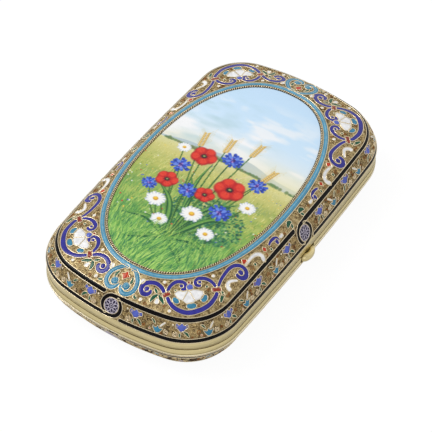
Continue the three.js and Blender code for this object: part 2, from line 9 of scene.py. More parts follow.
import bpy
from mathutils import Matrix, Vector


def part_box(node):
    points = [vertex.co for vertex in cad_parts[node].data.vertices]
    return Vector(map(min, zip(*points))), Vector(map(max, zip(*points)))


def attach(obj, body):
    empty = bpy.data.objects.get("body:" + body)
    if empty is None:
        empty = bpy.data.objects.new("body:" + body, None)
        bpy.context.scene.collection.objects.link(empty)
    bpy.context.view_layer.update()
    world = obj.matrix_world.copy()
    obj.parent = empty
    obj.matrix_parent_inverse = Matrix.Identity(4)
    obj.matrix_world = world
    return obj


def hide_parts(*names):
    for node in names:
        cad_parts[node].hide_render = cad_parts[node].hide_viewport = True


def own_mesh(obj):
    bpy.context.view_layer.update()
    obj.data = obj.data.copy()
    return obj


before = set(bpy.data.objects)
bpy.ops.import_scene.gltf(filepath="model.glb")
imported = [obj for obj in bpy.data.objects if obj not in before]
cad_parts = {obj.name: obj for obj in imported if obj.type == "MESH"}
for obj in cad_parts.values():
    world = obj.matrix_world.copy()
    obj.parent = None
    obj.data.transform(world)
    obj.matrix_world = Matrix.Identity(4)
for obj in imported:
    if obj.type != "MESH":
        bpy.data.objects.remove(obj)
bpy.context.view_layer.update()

# %% [markdown]
# Blender measures in metres, but a jeweller thinks in millimetres. Every size below is in
# millimetres, and one factor turns it into metres when a point is written into a mesh.
# The case's main sizes are read from the frame, so the surfaces can't drift away from it.

# %% Sizes of the case
import bmesh
import bpy
import math
import random

import numpy as np
from mathutils import Matrix, Vector
from mathutils.bvhtree import BVHTree

MM = 0.001


def corner(node, high):
    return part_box(node)[1 if high else 0] / MM


HALF_WIDTH = corner("base_rim", True).x
HALF_LENGTH = corner("base_rim", True).y
Z_BASE_RIM = corner("base_rim", False).z
Z_LID_RIM = corner("lid_rim", True).z
Z_SEAM = (corner("base_rim", True).z + corner("lid_rim", False).z) / 2
CORNER_RADIUS = 17.4
SIDE_BOW = 1.6
END_BOW = 5.9
SHOULDER_HEIGHT = 6.3
SHOULDER_INSET = 3.2
SHOULDER_BULGE = 0.3
TOP_RISE = 3.0
TOP_FULLNESS = 0.25
PICTURE_RISE = 0.9
SIDE_BORDER = 3.7
END_BORDER = 9.1
OVAL_HALF_WIDTH = HALF_WIDTH - SHOULDER_INSET - SIDE_BORDER
OVAL_HALF_LENGTH = HALF_LENGTH - SHOULDER_INSET - END_BORDER
OVAL_EXPONENT = 2.3
RIM_THICKNESS = 2.0
WALL = 0.8
SHELL_DEPTH = 0.95
Z_TOP_LINE = Z_LID_RIM + SHOULDER_HEIGHT
Z_OVAL = Z_TOP_LINE + TOP_RISE
SLANT = math.hypot(SHOULDER_INSET, SHOULDER_HEIGHT)
print("The seam lies", round(Z_SEAM, 2), "mm above the table")

# %% [markdown]
# Seen from above, the case is a rounded rectangle whose sides bow outwards. A maker would scribe
# it with a compass: one wide arc for each side and each end, and a tight arc for each corner,
# all tangent. A point of the outline is found by the distance walked along these arcs, because
# then every ornament that is laid along the edge keeps its true length.

# %% The outline as arcs
SIDE_RADIUS = (HALF_LENGTH**2 + SIDE_BOW**2) / (2 * SIDE_BOW)
END_RADIUS = (HALF_WIDTH**2 + END_BOW**2) / (2 * END_BOW)
side_centre = Vector((HALF_WIDTH - SIDE_RADIUS, 0))
end_centre = Vector((0, HALF_LENGTH - END_RADIUS))


def find_corner_centre():
    """Where the corner arc's centre lies, so that it touches the side arc and the end arc."""
    from_side, from_end = SIDE_RADIUS - CORNER_RADIUS, END_RADIUS - CORNER_RADIUS
    across = end_centre - side_centre
    along = (from_side**2 - from_end**2 + across.length_squared) / (2 * across.length)
    aside = math.sqrt(from_side**2 - along**2)
    unit = across.normalized()
    return side_centre + along * unit + aside * Vector((-unit.y, unit.x))


corner_centre = find_corner_centre()
to_side, to_end = corner_centre - side_centre, corner_centre - end_centre
corner_start, corner_end = math.atan2(to_side.y, to_side.x), math.atan2(to_end.y, to_end.x)
SIDE_ARC = SIDE_RADIUS * corner_start
CORNER_ARC = CORNER_RADIUS * (corner_end - corner_start)
END_ARC = END_RADIUS * (math.pi / 2 - corner_end)
QUARTER = SIDE_ARC + CORNER_ARC + END_ARC


def outline_quarter(walked, inset):
    """A point of the first quarter, from the middle of the catch side to the middle of an end."""
    if walked <= SIDE_ARC:
        centre, radius, angle = side_centre, SIDE_RADIUS, walked / SIDE_RADIUS
    elif walked <= SIDE_ARC + CORNER_ARC:
        centre, radius = corner_centre, CORNER_RADIUS
        angle = corner_start + (walked - SIDE_ARC) / CORNER_RADIUS
    else:
        centre, radius = end_centre, END_RADIUS
        angle = corner_end + (walked - SIDE_ARC - CORNER_ARC) / END_RADIUS
    reach = radius - inset
    return centre.x + reach * math.cos(angle), centre.y + reach * math.sin(angle)


def outline(walked, inset):
    """A point anywhere round the case: a full walk is four quarters long."""
    quarter, rest = divmod(walked, QUARTER)
    quarter = int(quarter) % 4
    x, y = outline_quarter(rest if quarter % 2 == 0 else QUARTER - rest, inset)
    return (x if quarter in (0, 3) else -x), (y if quarter < 2 else -y)


print("A walk round the case is", round(4 * QUARTER, 1), "mm")

# %% [markdown]
# The walls are described as rings that run round the case. Each ring is a small function that
# turns a walked distance into a point. The rim rings are level, the shoulder rings lean in with
# a slight bulge, the top rings climb from the black line to the oval, and the picture rings
# shrink towards the middle of the shallow dome.

# %% Rings of the case


def level_ring(inset, z):
    return lambda walked: Vector((*outline(walked, inset), z))


def shoulder_point(walked, up, lift, on_lid=True):
    """up is measured along the slope from the rim, and lift straight out of the surface."""
    t = up / SLANT
    out = SHOULDER_BULGE * math.sin(math.pi * t) + lift
    inset = SHOULDER_INSET * t - out * SHOULDER_HEIGHT / SLANT
    rise = SHOULDER_HEIGHT * t + out * SHOULDER_INSET / SLANT
    z = Z_LID_RIM + rise if on_lid else Z_BASE_RIM - rise
    return Vector((*outline(walked, inset), z))


def shoulder_ring(up, lift, on_lid=True):
    return lambda walked: shoulder_point(walked, up, lift, on_lid)


def oval_point(walked, grow=0.0):
    x, y = outline(walked, 0)
    angle = math.atan2(abs(y) / HALF_LENGTH, abs(x) / HALF_WIDTH)
    power = 2 / OVAL_EXPONENT
    across = (OVAL_HALF_WIDTH + grow) * max(math.cos(angle), 0) ** power
    along = (OVAL_HALF_LENGTH + grow) * max(math.sin(angle), 0) ** power
    return Vector((math.copysign(across, x), math.copysign(along, y)))


def top_point(walked, share, lift):
    """share is 0 at the upper black line and 1 at the oval."""
    edge = Vector(outline(walked, SHOULDER_INSET))
    flat = edge.lerp(oval_point(walked), share)
    climb = share + TOP_FULLNESS * share * (1 - share)
    return Vector((*flat, Z_TOP_LINE + TOP_RISE * climb + lift))


def top_ring(from_edge=None, from_oval=None, lift=0.0):
    """A ring at a distance from the black line, or at a distance from the oval."""

    def point(walked):
        width = (Vector(outline(walked, SHOULDER_INSET)) - oval_point(walked)).length
        share = from_edge / width if from_edge is not None else 1 - from_oval / width
        return top_point(walked, share, lift)

    return point


def oval_ring(shrink, scale=1.0, lift=0.0):
    share = scale * (1 - shrink / OVAL_HALF_WIDTH)
    z = Z_OVAL + PICTURE_RISE * (1 - share**2) + lift
    return lambda walked: Vector((*(oval_point(walked, -shrink) * scale), z))


def middle(z):
    return lambda walked: Vector((0, 0, z))


print("The oval is", round(2 * OVAL_HALF_WIDTH, 1), "by", round(2 * OVAL_HALF_LENGTH, 1), "mm")

# %% [markdown]
# Nearly every piece here is a strip of sheet or wire that follows a line. In Blender such a strip
# can be extruded step by step, but there is a shorter way: make a flat grid with
# `bmesh.ops.create_grid`, move each of its points to where the bent strip would have it, and weld
# the edges that meet. One helper does this for walls, wires and enamel cells alike.

# %% Bending a grid
WELD = 1e-7
STATIONS = 320


def bend_grid(bm, columns, rows, place):
    """Adds a grid to the mesh; place(column, row) gives each of its points in millimetres."""
    made = bmesh.ops.create_grid(bm, x_segments=columns, y_segments=rows, size=0.5)
    for vert in made["verts"]:
        column = round((vert.co.x + 0.5) * columns)
        row = round((vert.co.y + 0.5) * rows)
        vert.co = place(column, row) * MM


def sweep(bm, rings, closed=True):
    """Carries a section round the case. A closed section returns from its last ring to its first."""
    rows = len(rings) if closed else len(rings) - 1

    def place(column, row):
        return rings[row % len(rings)](4 * QUARTER * (column % STATIONS) / STATIONS)

    bend_grid(bm, STATIONS, rows, place)


def add_object(name, data):
    """Puts a mesh, a camera or a lamp into the scene."""
    made = bpy.data.objects.new(name, data)
    bpy.context.scene.collection.objects.link(made)
    return made


def settle(bm, name):
    """Writes the finished bmesh into a mesh."""
    mesh = bpy.data.meshes.new(name)
    bm.to_mesh(mesh)
    bm.free()
    return mesh


def make_piece(name, bm, material, body, replaces=()):
    """Welds the mesh, turns its faces outwards and hangs it on a body of the frame."""
    bmesh.ops.remove_doubles(bm, verts=bm.verts, dist=WELD)
    bmesh.ops.dissolve_degenerate(bm, edges=bm.edges, dist=WELD)
    bmesh.ops.recalc_face_normals(bm, faces=bm.faces)
    for face in bm.faces:
        face.smooth = True
    mesh = settle(bm, name)
    mesh.materials.append(material)
    piece = add_object(name, mesh)
    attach(piece, body)
    if replaces:
        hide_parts(*replaces)
    triangles = sum(len(face.vertices) - 2 for face in mesh.polygons)
    print(f"{name}: {triangles} triangles")
    return piece


# %% [markdown]
# The camera comes first. The picture was taken from the right and from above with a long lens.
# The direction is given by two angles, the roll by a third, and the lens by its focal length on
# a 36 mm sensor.

# %% Camera
AZIMUTH = math.radians(31.664)
ELEVATION = math.radians(46.579)
ROLL = math.radians(1.749)
DISTANCE = 0.59856
LENS = 169.5
SHIFT_UP = -0.0445
AIM_HEIGHT = 13.1
target = Vector((0, 0, AIM_HEIGHT * MM))
back = Vector((
    math.sin(AZIMUTH) * math.cos(ELEVATION),
    -math.cos(AZIMUTH) * math.cos(ELEVATION),
    math.sin(ELEVATION),
))
right = (-back).cross(Vector((0, 0, 1))).normalized()
up = right.cross(-back)
rolled_right = right * math.cos(ROLL) + up * math.sin(ROLL)
rolled_up = up * math.cos(ROLL) - right * math.sin(ROLL)
camera_data = bpy.data.cameras.new("camera")
camera_data.sensor_width = 36
camera_data.lens = LENS
camera_data.shift_y = SHIFT_UP
camera_data.clip_start = 0.01
camera = add_object("camera", camera_data)
turn = Matrix((rolled_right, rolled_up, back)).transposed().to_4x4()
camera.matrix_world = Matrix.Translation(target + DISTANCE * back) @ turn
bpy.context.scene.camera = camera
print("The camera stands", round(DISTANCE, 3), "m from the case")

# %% [markdown]
# The finishes are built from shader nodes. Gilt silver is a metal with a pale yellow colour and
# fine rubbed scratches. Enamel is glass: a smooth dielectric whose colour wanders a little and
# whose surface waves slightly. A few helpers keep the node code short.

# %% Helpers for materials


def srgb(red, green, blue):
    """A colour given as 0 to 255, as a picture editor shows it, turned into linear light."""
    return (*[((c / 255 + 0.055) / 1.055) ** 2.4 for c in (red, green, blue)], 1.0)


def shaded(colour, factor):
    return (*[min(channel * factor, 1.0) for channel in colour[:3]], 1.0)


def grey(value):
    return (value, value, value, 1.0)


def new_material(name, colour, roughness, metallic=0.0):
    material = bpy.data.materials.new(name)
    material.use_nodes = True
    shader = material.node_tree.nodes["Principled BSDF"]
    shader.inputs["Base Color"].default_value = colour
    shader.inputs["Roughness"].default_value = roughness
    shader.inputs["Metallic"].default_value = metallic
    return material, material.node_tree, shader


def add_node(tree, kind, links=(), **values):
    """Adds a node: links are (input, source) pairs, values are numbers for its inputs."""
    node = tree.nodes.new(kind)
    for name, value in values.items():
        node.inputs[name].default_value = value
    for name, source in links:
        tree.links.new(source, node.inputs[name])
    return node


def object_points(tree, scale):
    """Object coordinates: a larger scale gives a finer pattern along that axis."""
    where = add_node(tree, "ShaderNodeTexCoord").outputs["Object"]
    mapping = add_node(tree, "ShaderNodeMapping", [("Vector", where)], Scale=scale)
    return mapping.outputs["Vector"]


def noise(tree, scale, detail=4.0):
    points = object_points(tree, scale)
    cloud = add_node(tree, "ShaderNodeTexNoise", [("Vector", points)], Scale=1.0, Detail=detail)
    return cloud.outputs["Fac"]


def ramp(tree, source, stops):
    """A colour ramp: stops are (position, colour) pairs."""
    node = add_node(tree, "ShaderNodeValToRGB", [("Fac", source)])
    elements = node.color_ramp.elements
    for _ in stops[2:]:
        elements.new(0.5)
    for element, (position, colour) in zip(elements, stops):
        element.position, element.color = position, colour
    return node.outputs["Color"]


def multiply(tree, first, second):
    node = add_node(tree, "ShaderNodeMixRGB", [("Color1", first), ("Color2", second)], Fac=1.0)
    node.blend_type = "MULTIPLY"
    return node.outputs["Color"]


def calculate(tree, operation, first, second):
    """A Math node: second is another socket, or a plain number."""
    node = add_node(tree, "ShaderNodeMath", [(0, first)])
    node.operation = operation
    if isinstance(second, float):
        node.inputs[1].default_value = second
    else:
        tree.links.new(second, node.inputs[1])
    return node.outputs["Value"]


def bump(tree, shader, height, depth):
    """depth is in millimetres."""
    node = add_node(tree, "ShaderNodeBump", [("Height", height)], Distance=depth * MM, Strength=1.0)
    tree.links.new(node.outputs["Normal"], shader.inputs["Normal"])


# %% [markdown]
# Gilt comes in three states here. The rims are rubbed to a satin sheen, the wires are bright
# because they are what hands touch, and the ground between the cells is punched all over with
# tiny round dents, which makes it look darker and browner than the same gold polished; each dent
# is also darkened with painted shade. A darker gilt and a nearly black solder are painted shade,
# laid where shade falls: in the seam and a groove of the rim, under the rim, under and between
# the rope's strands, and on the base's shoulder, which faces the table.

# %% Gilt finishes
PER_MM = 1000.0


def make_gilt(name, colour, roughness, scratch, depth, contrast):
    """scratch gives how many scratches there are in a millimetre along x, y and z."""
    material, tree, shader = new_material(name, colour, roughness, metallic=1.0)
    scratches = noise(tree, tuple(PER_MM * s for s in scratch), 3.0)
    tone = ramp(tree, scratches, [
        (0.36, shaded(colour, 1 - 1.6 * contrast)), (0.5, colour), (0.64, shaded(colour, 1 + contrast))])
    tree.links.new(tone, shader.inputs["Base Color"])
    rubbed = ramp(tree, noise(tree, (0.7 * PER_MM,) * 3, 6.0), [
        (0.3, grey(roughness - 0.06)), (0.75, grey(roughness + 0.12))])
    tree.links.new(rubbed, shader.inputs["Roughness"])
    bump(tree, shader, scratches, depth)
    return material


def make_stippled_gilt(name, dark, plain, light):
    """Round dents, about three in a millimetre, darkened with painted shade where the punch went in."""
    material, tree, shader = new_material(name, plain, 0.45, metallic=0.6)
    dents = add_node(
        tree, "ShaderNodeTexVoronoi", [("Vector", object_points(tree, (3.2 * PER_MM,) * 3))],
        Scale=1.0, Randomness=0.85,
    ).outputs["Distance"]
    worn = noise(tree, (0.95 * PER_MM,) * 3, 5.0)
    tone = ramp(tree, worn, [(0.38, dark), (0.5, plain), (0.62, light)])
    shade = ramp(tree, dents, [(0.05, grey(0.4)), (0.5, grey(1.0))])
    tree.links.new(multiply(tree, tone, shade), shader.inputs["Base Color"])
    bump(tree, shader, dents, 0.05)
    return material


satin_gilt = make_gilt("satin_gilt", srgb(224, 208, 156), 0.34, (0.03, 0.03, 3.0), 0.003, 0.07)
tray_gilt = make_gilt("tray_gilt", srgb(224, 206, 152), 0.4, (1.6, 0.06, 1.6), 0.002, 0.05)
bright_gilt = make_gilt("bright_gilt", srgb(228, 212, 178), 0.24, (2.0, 2.0, 2.0), 0.002, 0.05)
# A painted highlight: this pale gilt is laid only along the base rim's moulding.
painted_highlight_gilt = make_gilt("painted_highlight_gilt", srgb(252, 244, 222), 0.3, (2.0, 2.0, 2.0), 0.0, 0.03)
filigree_gilt = make_gilt("filigree_gilt", srgb(216, 192, 142), 0.3, (2.0, 2.0, 2.0), 0.002, 0.15)
# Painted shade: the darker gilt stands for shade in the seam, between the rope's strands and on the
# base's shoulder, and the nearly black solder for the shadow under the rope and under the rim.
painted_shade_gilt = make_gilt("painted_shade_gilt", srgb(112, 92, 68), 0.45, (2.0, 2.0, 2.0), 0.002, 0.2)
painted_shadow_solder = make_gilt("painted_shadow_solder", srgb(58, 42, 30), 0.5, (2.0, 2.0, 2.0), 0.002, 0.2)
top_stipple = make_stippled_gilt(
    "stippled_gilt_top", srgb(108, 88, 54), srgb(162, 140, 94), srgb(202, 182, 134))
band_stipple = make_stippled_gilt(
    "stippled_gilt_band", srgb(88, 70, 44), srgb(152, 128, 82), srgb(196, 172, 120))
# The base's shoulder ground is painted much darker than the lid's: painted shade, for that shoulder
# faces down towards the table.
base_shade_stipple = make_stippled_gilt(
    "stippled_gilt_base_painted_shade", srgb(22, 18, 15), srgb(54, 46, 36), srgb(104, 92, 72))
print("Gilt finishes:", satin_gilt.name, bright_gilt.name, filigree_gilt.name, top_stipple.name)

# %% [markdown]
# Enamel is powdered glass that is melted into its cell, filled again and ground flat. Its colour
# is never quite even, and its polished face keeps a faint wave, so both come from slow noise.
# Steel and woven elastic are the only other finishes, and they lie inside the case.

# %% Enamel, steel and elastic


def make_enamel(name, colour, roughness=0.15, gloss=0.35):
    material, tree, shader = new_material(name, colour, roughness)
    cloudy = noise(tree, (0.8 * PER_MM,) * 3, 5.0)
    tone = ramp(tree, cloudy, [(0.3, shaded(colour, 0.8)), (0.7, shaded(colour, 1.18))])
    tree.links.new(tone, shader.inputs["Base Color"])
    shader.inputs["Specular IOR Level"].default_value = gloss
    bump(tree, shader, noise(tree, (1.2 * PER_MM,) * 3, 2.0), 0.02)
    return material


def make_elastic(name):
    material, tree, shader = new_material(name, srgb(120, 40, 46), 0.85)
    ribs = add_node(
        tree, "ShaderNodeTexWave", [("Vector", object_points(tree, (1.2 * PER_MM,) * 3))], Scale=0.5,
        Distortion=0.4)
    ribs.bands_direction = "Y"
    tone = ramp(tree, ribs.outputs["Fac"], [(0.2, srgb(84, 24, 30)), (0.8, srgb(146, 58, 62))])
    tree.links.new(tone, shader.inputs["Base Color"])
    bump(tree, shader, ribs.outputs["Fac"], 0.12)
    return material


enamels = {
    "ultramarine": make_enamel("ultramarine_enamel", srgb(46, 44, 144)),
    "periwinkle": make_enamel("periwinkle_enamel", srgb(88, 104, 196)),
    "turquoise": make_enamel("turquoise_enamel", srgb(58, 134, 168)),
    "ring": make_enamel("ring_blue_enamel", srgb(84, 156, 190)),
    # The pale turquoise is painted highlight: the light lines along the heart and the ring, and the ring
    # in the heart's eye.
    "sky": make_enamel("pale_turquoise_highlight_enamel", srgb(134, 186, 206)),
    "white": make_enamel("white_enamel", srgb(250, 250, 252)),
    "red": make_enamel("red_enamel", srgb(198, 56, 24)),
    "rust": make_enamel("rust_enamel", srgb(146, 50, 28)),
    "amber": make_enamel("amber_enamel", srgb(172, 112, 54)),
    "green": make_enamel("green_enamel", srgb(24, 88, 62)),
    "violet": make_enamel("violet_enamel", srgb(30, 22, 58)),
    "lilac": make_enamel("lilac_silver_enamel", srgb(204, 196, 212), 0.25),
    "black": make_enamel("black_enamel", srgb(8, 5, 8), 0.12, 0.12),
}
steel = make_gilt("spring_steel", srgb(150, 154, 160), 0.32, (6.0, 0.5, 6.0), 0.004, 0.1)
elastic = make_elastic("elastic")
print("Enamels:", ", ".join(enamels))

# %% [markdown]
# The walls are two thin trays. Each is one closed section, carried round the case: down the
# outside under the enamels, across the step that sits on the rim, and back up the inside. The
# rims are thicker bars whose edges are eased at the seam, where the two halves meet.

# %% Trays, rims and lip
GAP = 0.3
RIM_EASE = 0.3
SEAM_GAP = 0.3
LIP_THICKNESS = 0.8
LIP_REACH = 1.8
LIP_INSET = RIM_THICKNESS + GAP
INNER = SHELL_DEPTH + WALL


def tray_face(depth, z_middle, outward):
    """The rings of one face of the lid's tray, from the middle to the rim or back again."""
    rings = [middle(z_middle)]
    rings += [oval_ring(0, scale, -depth) for scale in (0.25, 0.5, 0.75, 1.0)]
    rings += [lambda walked, s=share: top_point(walked, s, -depth) for share in (0.7, 0.4, 0.15)]
    rings += [shoulder_ring(SLANT * t, -depth) for t in (1.0, 0.75, 0.5, 0.25)]
    return rings if outward else rings[::-1]


lid_tray = bmesh.new()
crown = Z_OVAL + PICTURE_RISE
sweep(lid_tray, [
    *tray_face(SHELL_DEPTH, crown - SHELL_DEPTH, True),
    level_ring(SHELL_DEPTH, Z_LID_RIM),
    level_ring(RIM_THICKNESS, Z_LID_RIM),
    level_ring(RIM_THICKNESS, Z_LID_RIM + WALL),
    *tray_face(INNER, crown - INNER, False),
], closed=False)
make_piece("lid_tray", lid_tray, tray_gilt, "lid", ["lid_shell"])

base_tray = bmesh.new()
sweep(base_tray, [
    middle(SHELL_DEPTH),
    *[shoulder_ring(SLANT * t, -SHELL_DEPTH, False) for t in (1.0, 0.75, 0.5, 0.25)],
    level_ring(SHELL_DEPTH, Z_BASE_RIM),
    level_ring(LIP_INSET + LIP_THICKNESS, Z_BASE_RIM),
    level_ring(LIP_INSET + LIP_THICKNESS, Z_BASE_RIM - WALL),
    *[shoulder_ring(SLANT * t, -INNER, False) for t in (0.4, 0.6, 0.8, 0.95)],
    middle(INNER),
], closed=False)
make_piece("base_tray", base_tray, tray_gilt, "base", ["base_shell"])


MOULDING = [(0, 0.75), (-0.2, 0.68), (0.8, 0.55), (1, 0.4), (0.7, 0.24), (0, 0.16)]


def add_rim(bm, seam_side, far_side, bead):
    """A flat bar with softened edges; bead is how far the moulding stands out near its far edge.

    The moulding's pairs are a share of the bead and a distance from that edge.
    """
    away = math.copysign(1.0, far_side - seam_side)
    sweep(bm, [
        level_ring(RIM_EASE / 2, seam_side),
        level_ring(0, seam_side + away * RIM_EASE / 2),
        *[level_ring(-bead * out, far_side - away * along) for out, along in MOULDING],
        level_ring(RIM_EASE / 2, far_side),
        level_ring(RIM_THICKNESS, far_side),
        level_ring(RIM_THICKNESS, seam_side),
    ])


lid_rim = bmesh.new()
add_rim(lid_rim, Z_SEAM + SEAM_GAP / 2, Z_LID_RIM, 0.0)
base_rim = bmesh.new()
add_rim(base_rim, Z_SEAM - SEAM_GAP / 2, Z_BASE_RIM, 0.14)
base_lip = bmesh.new()
sweep(base_lip, [
    level_ring(LIP_INSET, Z_BASE_RIM),
    level_ring(LIP_INSET, Z_SEAM + LIP_REACH),
    level_ring(LIP_INSET + LIP_THICKNESS, Z_SEAM + LIP_REACH),
    level_ring(LIP_INSET + LIP_THICKNESS, Z_BASE_RIM),
])


def add_box(bm, low, high):
    """A box between two corners; it gives back the box's vertices."""
    verts = bmesh.ops.create_cube(bm, size=1.0)["verts"]
    size = (Vector(high) - Vector(low)) * MM
    bmesh.ops.scale(bm, verts=verts, vec=size)
    bmesh.ops.translate(bm, verts=verts, vec=Vector(low) * MM + size / 2)
    return verts


def cut_away(piece, low, high):
    """Cuts a box out of a piece with a Boolean, and keeps the result as its mesh."""
    bm = bmesh.new()
    add_box(bm, low, high)
    cutter = add_object("cutter", settle(bm, "cutter"))
    boolean = piece.modifiers.new("cut", "BOOLEAN")
    boolean.operation = "DIFFERENCE"
    boolean.object = cutter
    cut_piece = piece.evaluated_get(bpy.context.evaluated_depsgraph_get())
    mesh = bpy.data.meshes.new_from_object(cut_piece)
    piece.modifiers.remove(boolean)
    piece.data = mesh
    bpy.data.objects.remove(cutter)


HINGE_HALF = 33.7
HINGE_NOTCH = 1.55
THUMB_HALF = 3.5
THUMB_POCKET = 1.3
STEM_HALF = 2.1
STEM_REACH = 5
STEM_DROP = 2.6
STEM_ROOF = 0.6
CLEAR_OF_RIM = 1
hinge_low = (-HALF_WIDTH - CLEAR_OF_RIM, -HINGE_HALF, Z_SEAM - HINGE_NOTCH)
hinge_high = (-HALF_WIDTH + HINGE_NOTCH, HINGE_HALF, Z_SEAM + HINGE_NOTCH)
pocket_low = (HALF_WIDTH - THUMB_POCKET, -THUMB_HALF, Z_BASE_RIM - CLEAR_OF_RIM)
pocket_high = (HALF_WIDTH + CLEAR_OF_RIM, THUMB_HALF, Z_SEAM + CLEAR_OF_RIM)
stem_low = (HALF_WIDTH - STEM_REACH, -STEM_HALF, Z_SEAM - STEM_DROP)
lid_rim_piece = make_piece("lid_rim_band", lid_rim, satin_gilt, "lid", ["lid_rim"])
cut_away(lid_rim_piece, hinge_low, hinge_high)
base_rim_piece = make_piece("base_rim_band", base_rim, satin_gilt, "base", ["base_rim"])
cut_away(base_rim_piece, hinge_low, hinge_high)
cut_away(base_rim_piece, pocket_low, pocket_high)
cut_away(base_rim_piece, stem_low, (HALF_WIDTH + CLEAR_OF_RIM, STEM_HALF, Z_SEAM - STEM_ROOF))
base_lip_piece = make_piece("base_lip_band", base_lip, satin_gilt, "base", ["base_lip"])
cut_away(base_lip_piece, stem_low, (HALF_WIDTH - 1, STEM_HALF + 0.4, Z_SEAM + 4))

# %% [markdown]
# Cloisonné means partitioned. Every cell starts as a flat wire that is bent along a drawn line
# and soldered down, and the glass goes between two wires. So an ornament is a list of lines in
# millimetres on the flat, and a second step lays it on the case: on the domed lid, on the
# sloping shoulder or on the back. Laying the lines is done by `place` functions, which take a
# flat point and a height above the metal, so one drawing serves every surface.

# %% Laying a drawing on the case
top_surface = bmesh.new()
sweep(top_surface, [
    top_ring(from_edge=0.0),
    *[lambda walked, s=k / 12: top_point(walked, s, 0) for k in range(1, 12)],
    oval_ring(0),
    *[oval_ring(shrink) for shrink in (1, 2, 3)],
], closed=False)
top_tree = BVHTree.FromBMesh(top_surface)
top_surface.free()


def on_lid_top(x, y, lift):
    """The point of the lid's top above (x, y), lifted straight out of the surface."""
    hit, normal, _, _ = top_tree.ray_cast(Vector((x, y, 50)) * MM, Vector((0, 0, -1)))
    if hit is None:
        hit, normal, _, _ = top_tree.find_nearest(Vector((x, y, Z_TOP_LINE)) * MM)
    return hit / MM + normal * math.copysign(lift, lift * normal.z)


def on_lid_band(walked, up, lift):
    """The shoulder, and past its upper edge the first millimetre of the top."""
    if up <= SLANT:
        return shoulder_point(walked, up, lift)
    return top_ring(from_edge=up - SLANT, lift=lift)(walked)


BACK_SINK = 0.17


def on_base_band(walked, up, lift):
    if up <= SLANT:
        return shoulder_point(walked, up, lift, False)
    return Vector((*outline(walked, SHOULDER_INSET + up - SLANT), 0.3 - lift))


def on_back(x, y, lift):
    """The flat back: the highest wires just reach the table."""
    return Vector((x, y, BACK_SINK - min(lift, BACK_SINK)))


HAND_START = 14
HAND_LENGTH = 27
NEAR_SHIFT = 0.5
NEAR_TILT = 0.0125
FAR_SHIFT = 0.25


def drawn_by_hand(x, y):
    """The real border is drawn by eye: its two ends sit up to half a millimetre off the middle."""
    end = min(max(abs(y) - HAND_START, 0) / HAND_LENGTH, 1)
    if y < 0:
        return x - NEAR_SHIFT * end, y - (NEAR_TILT * x - 0.05) * end
    return x, y + FAR_SHIFT * end


def quarter_of_top(place, sign_x, sign_y):
    return lambda x, y, lift: place(*drawn_by_hand(sign_x * x, sign_y * y), lift)


def four_quarters(place):
    return [quarter_of_top(place, *signs) for signs in [(1, 1), (-1, 1), (1, -1), (-1, -1)]]


def quarter_of_band(place, start, sign):
    return lambda walked, up, lift: place(start + sign * walked, up, lift)


def four_walks(place):
    walks = [(0, 1), (2 * QUARTER, -1), (2 * QUARTER, 1), (4 * QUARTER, -1)]
    return [quarter_of_band(place, *walk) for walk in walks]


print("Ornaments can be laid on the top, the shoulders and the back")

# %% [markdown]
# A drawn line passes smoothly through a few given points, and is then divided into equal
# steps, as a divider would walk along it. Three shapes are made on it. A ribbon is the glass
# between two wires, with a low dome where it was polished. A cell is glass inside a closed line.
# A wire is a thin round tube, which Blender's curves could also bevel, but bending a grid keeps
# it upright on the curved surface.

# %% Lines, ribbons, cells and wires
SPACING = 0.24
GLASS_FOOT = -0.25
GLASS_DOME = 0.07
WIRE_RADIUS = 0.14
WIRE_LIFT = 0.03


def smooth_line(points, closed=False, spacing=SPACING):
    """A Catmull-Rom curve through the points, in equal steps."""
    spots = np.array(points, float)
    if closed:
        spots = np.concatenate([spots[-1:], spots, spots[:2]])
    else:
        spots = np.concatenate([2 * spots[:1] - spots[1:2], spots, 2 * spots[-1:] - spots[-2:-1]])
    t = np.linspace(0, 1, 13)[:, None]
    spans = [
        0.5 * (2 * b + (c - a) * t + (2 * a - 5 * b + 4 * c - d) * t**2 + (3 * b - a - 3 * c + d) * t**3)
        for a, b, c, d in zip(spots, spots[1:], spots[2:], spots[3:])
    ]
    curve = np.concatenate([spans[0][:1], *[span[1:] for span in spans]])
    walked = np.concatenate([[0], np.cumsum(np.linalg.norm(np.diff(curve, axis=0), axis=1))])
    marks = np.linspace(0, walked[-1], max(6, round(walked[-1] / spacing)) + 1)
    return np.stack([np.interp(marks, walked, axis) for axis in curve.T], axis=1)


def straight_line(corners):
    """Straight sides from corner to corner and back to the first, in even steps."""
    sides = []
    for start, end in zip(corners, [*corners[1:], corners[0]]):
        steps = max(2, round(math.dist(start, end) / SPACING))
        sides.append(np.linspace(start, end, steps, endpoint=False))
    return np.concatenate([*sides, [corners[0]]])


def half_widths(line, width):
    """Half the ribbon's width at each point. width is a number, or (share, width) pairs."""
    share = np.linspace(0, 1, len(line))
    full = np.interp(share, *zip(*width)) if isinstance(width, list) else np.full(len(line), width)
    length = np.linalg.norm(np.diff(line, axis=0), axis=1).sum()
    from_end = np.clip(2 * np.minimum(share, 1 - share) * length / full, 0, 1)
    return full / 2 * np.sqrt(1 - (1 - from_end) ** 2)


def ribbon_edges(line, width):
    heading = np.gradient(line, axis=0)
    heading /= np.linalg.norm(heading, axis=1)[:, None]
    side = np.stack([-heading[:, 1], heading[:, 0]], axis=1) * half_widths(line, width)[:, None]
    return line + side, line - side


RIBBON_SECTION = [
    (0, GLASS_FOOT), (0, 0), (0.22, 0.7 * GLASS_DOME), (0.5, GLASS_DOME), (0.78, 0.7 * GLASS_DOME),
    (1, 0), (1, GLASS_FOOT),
]


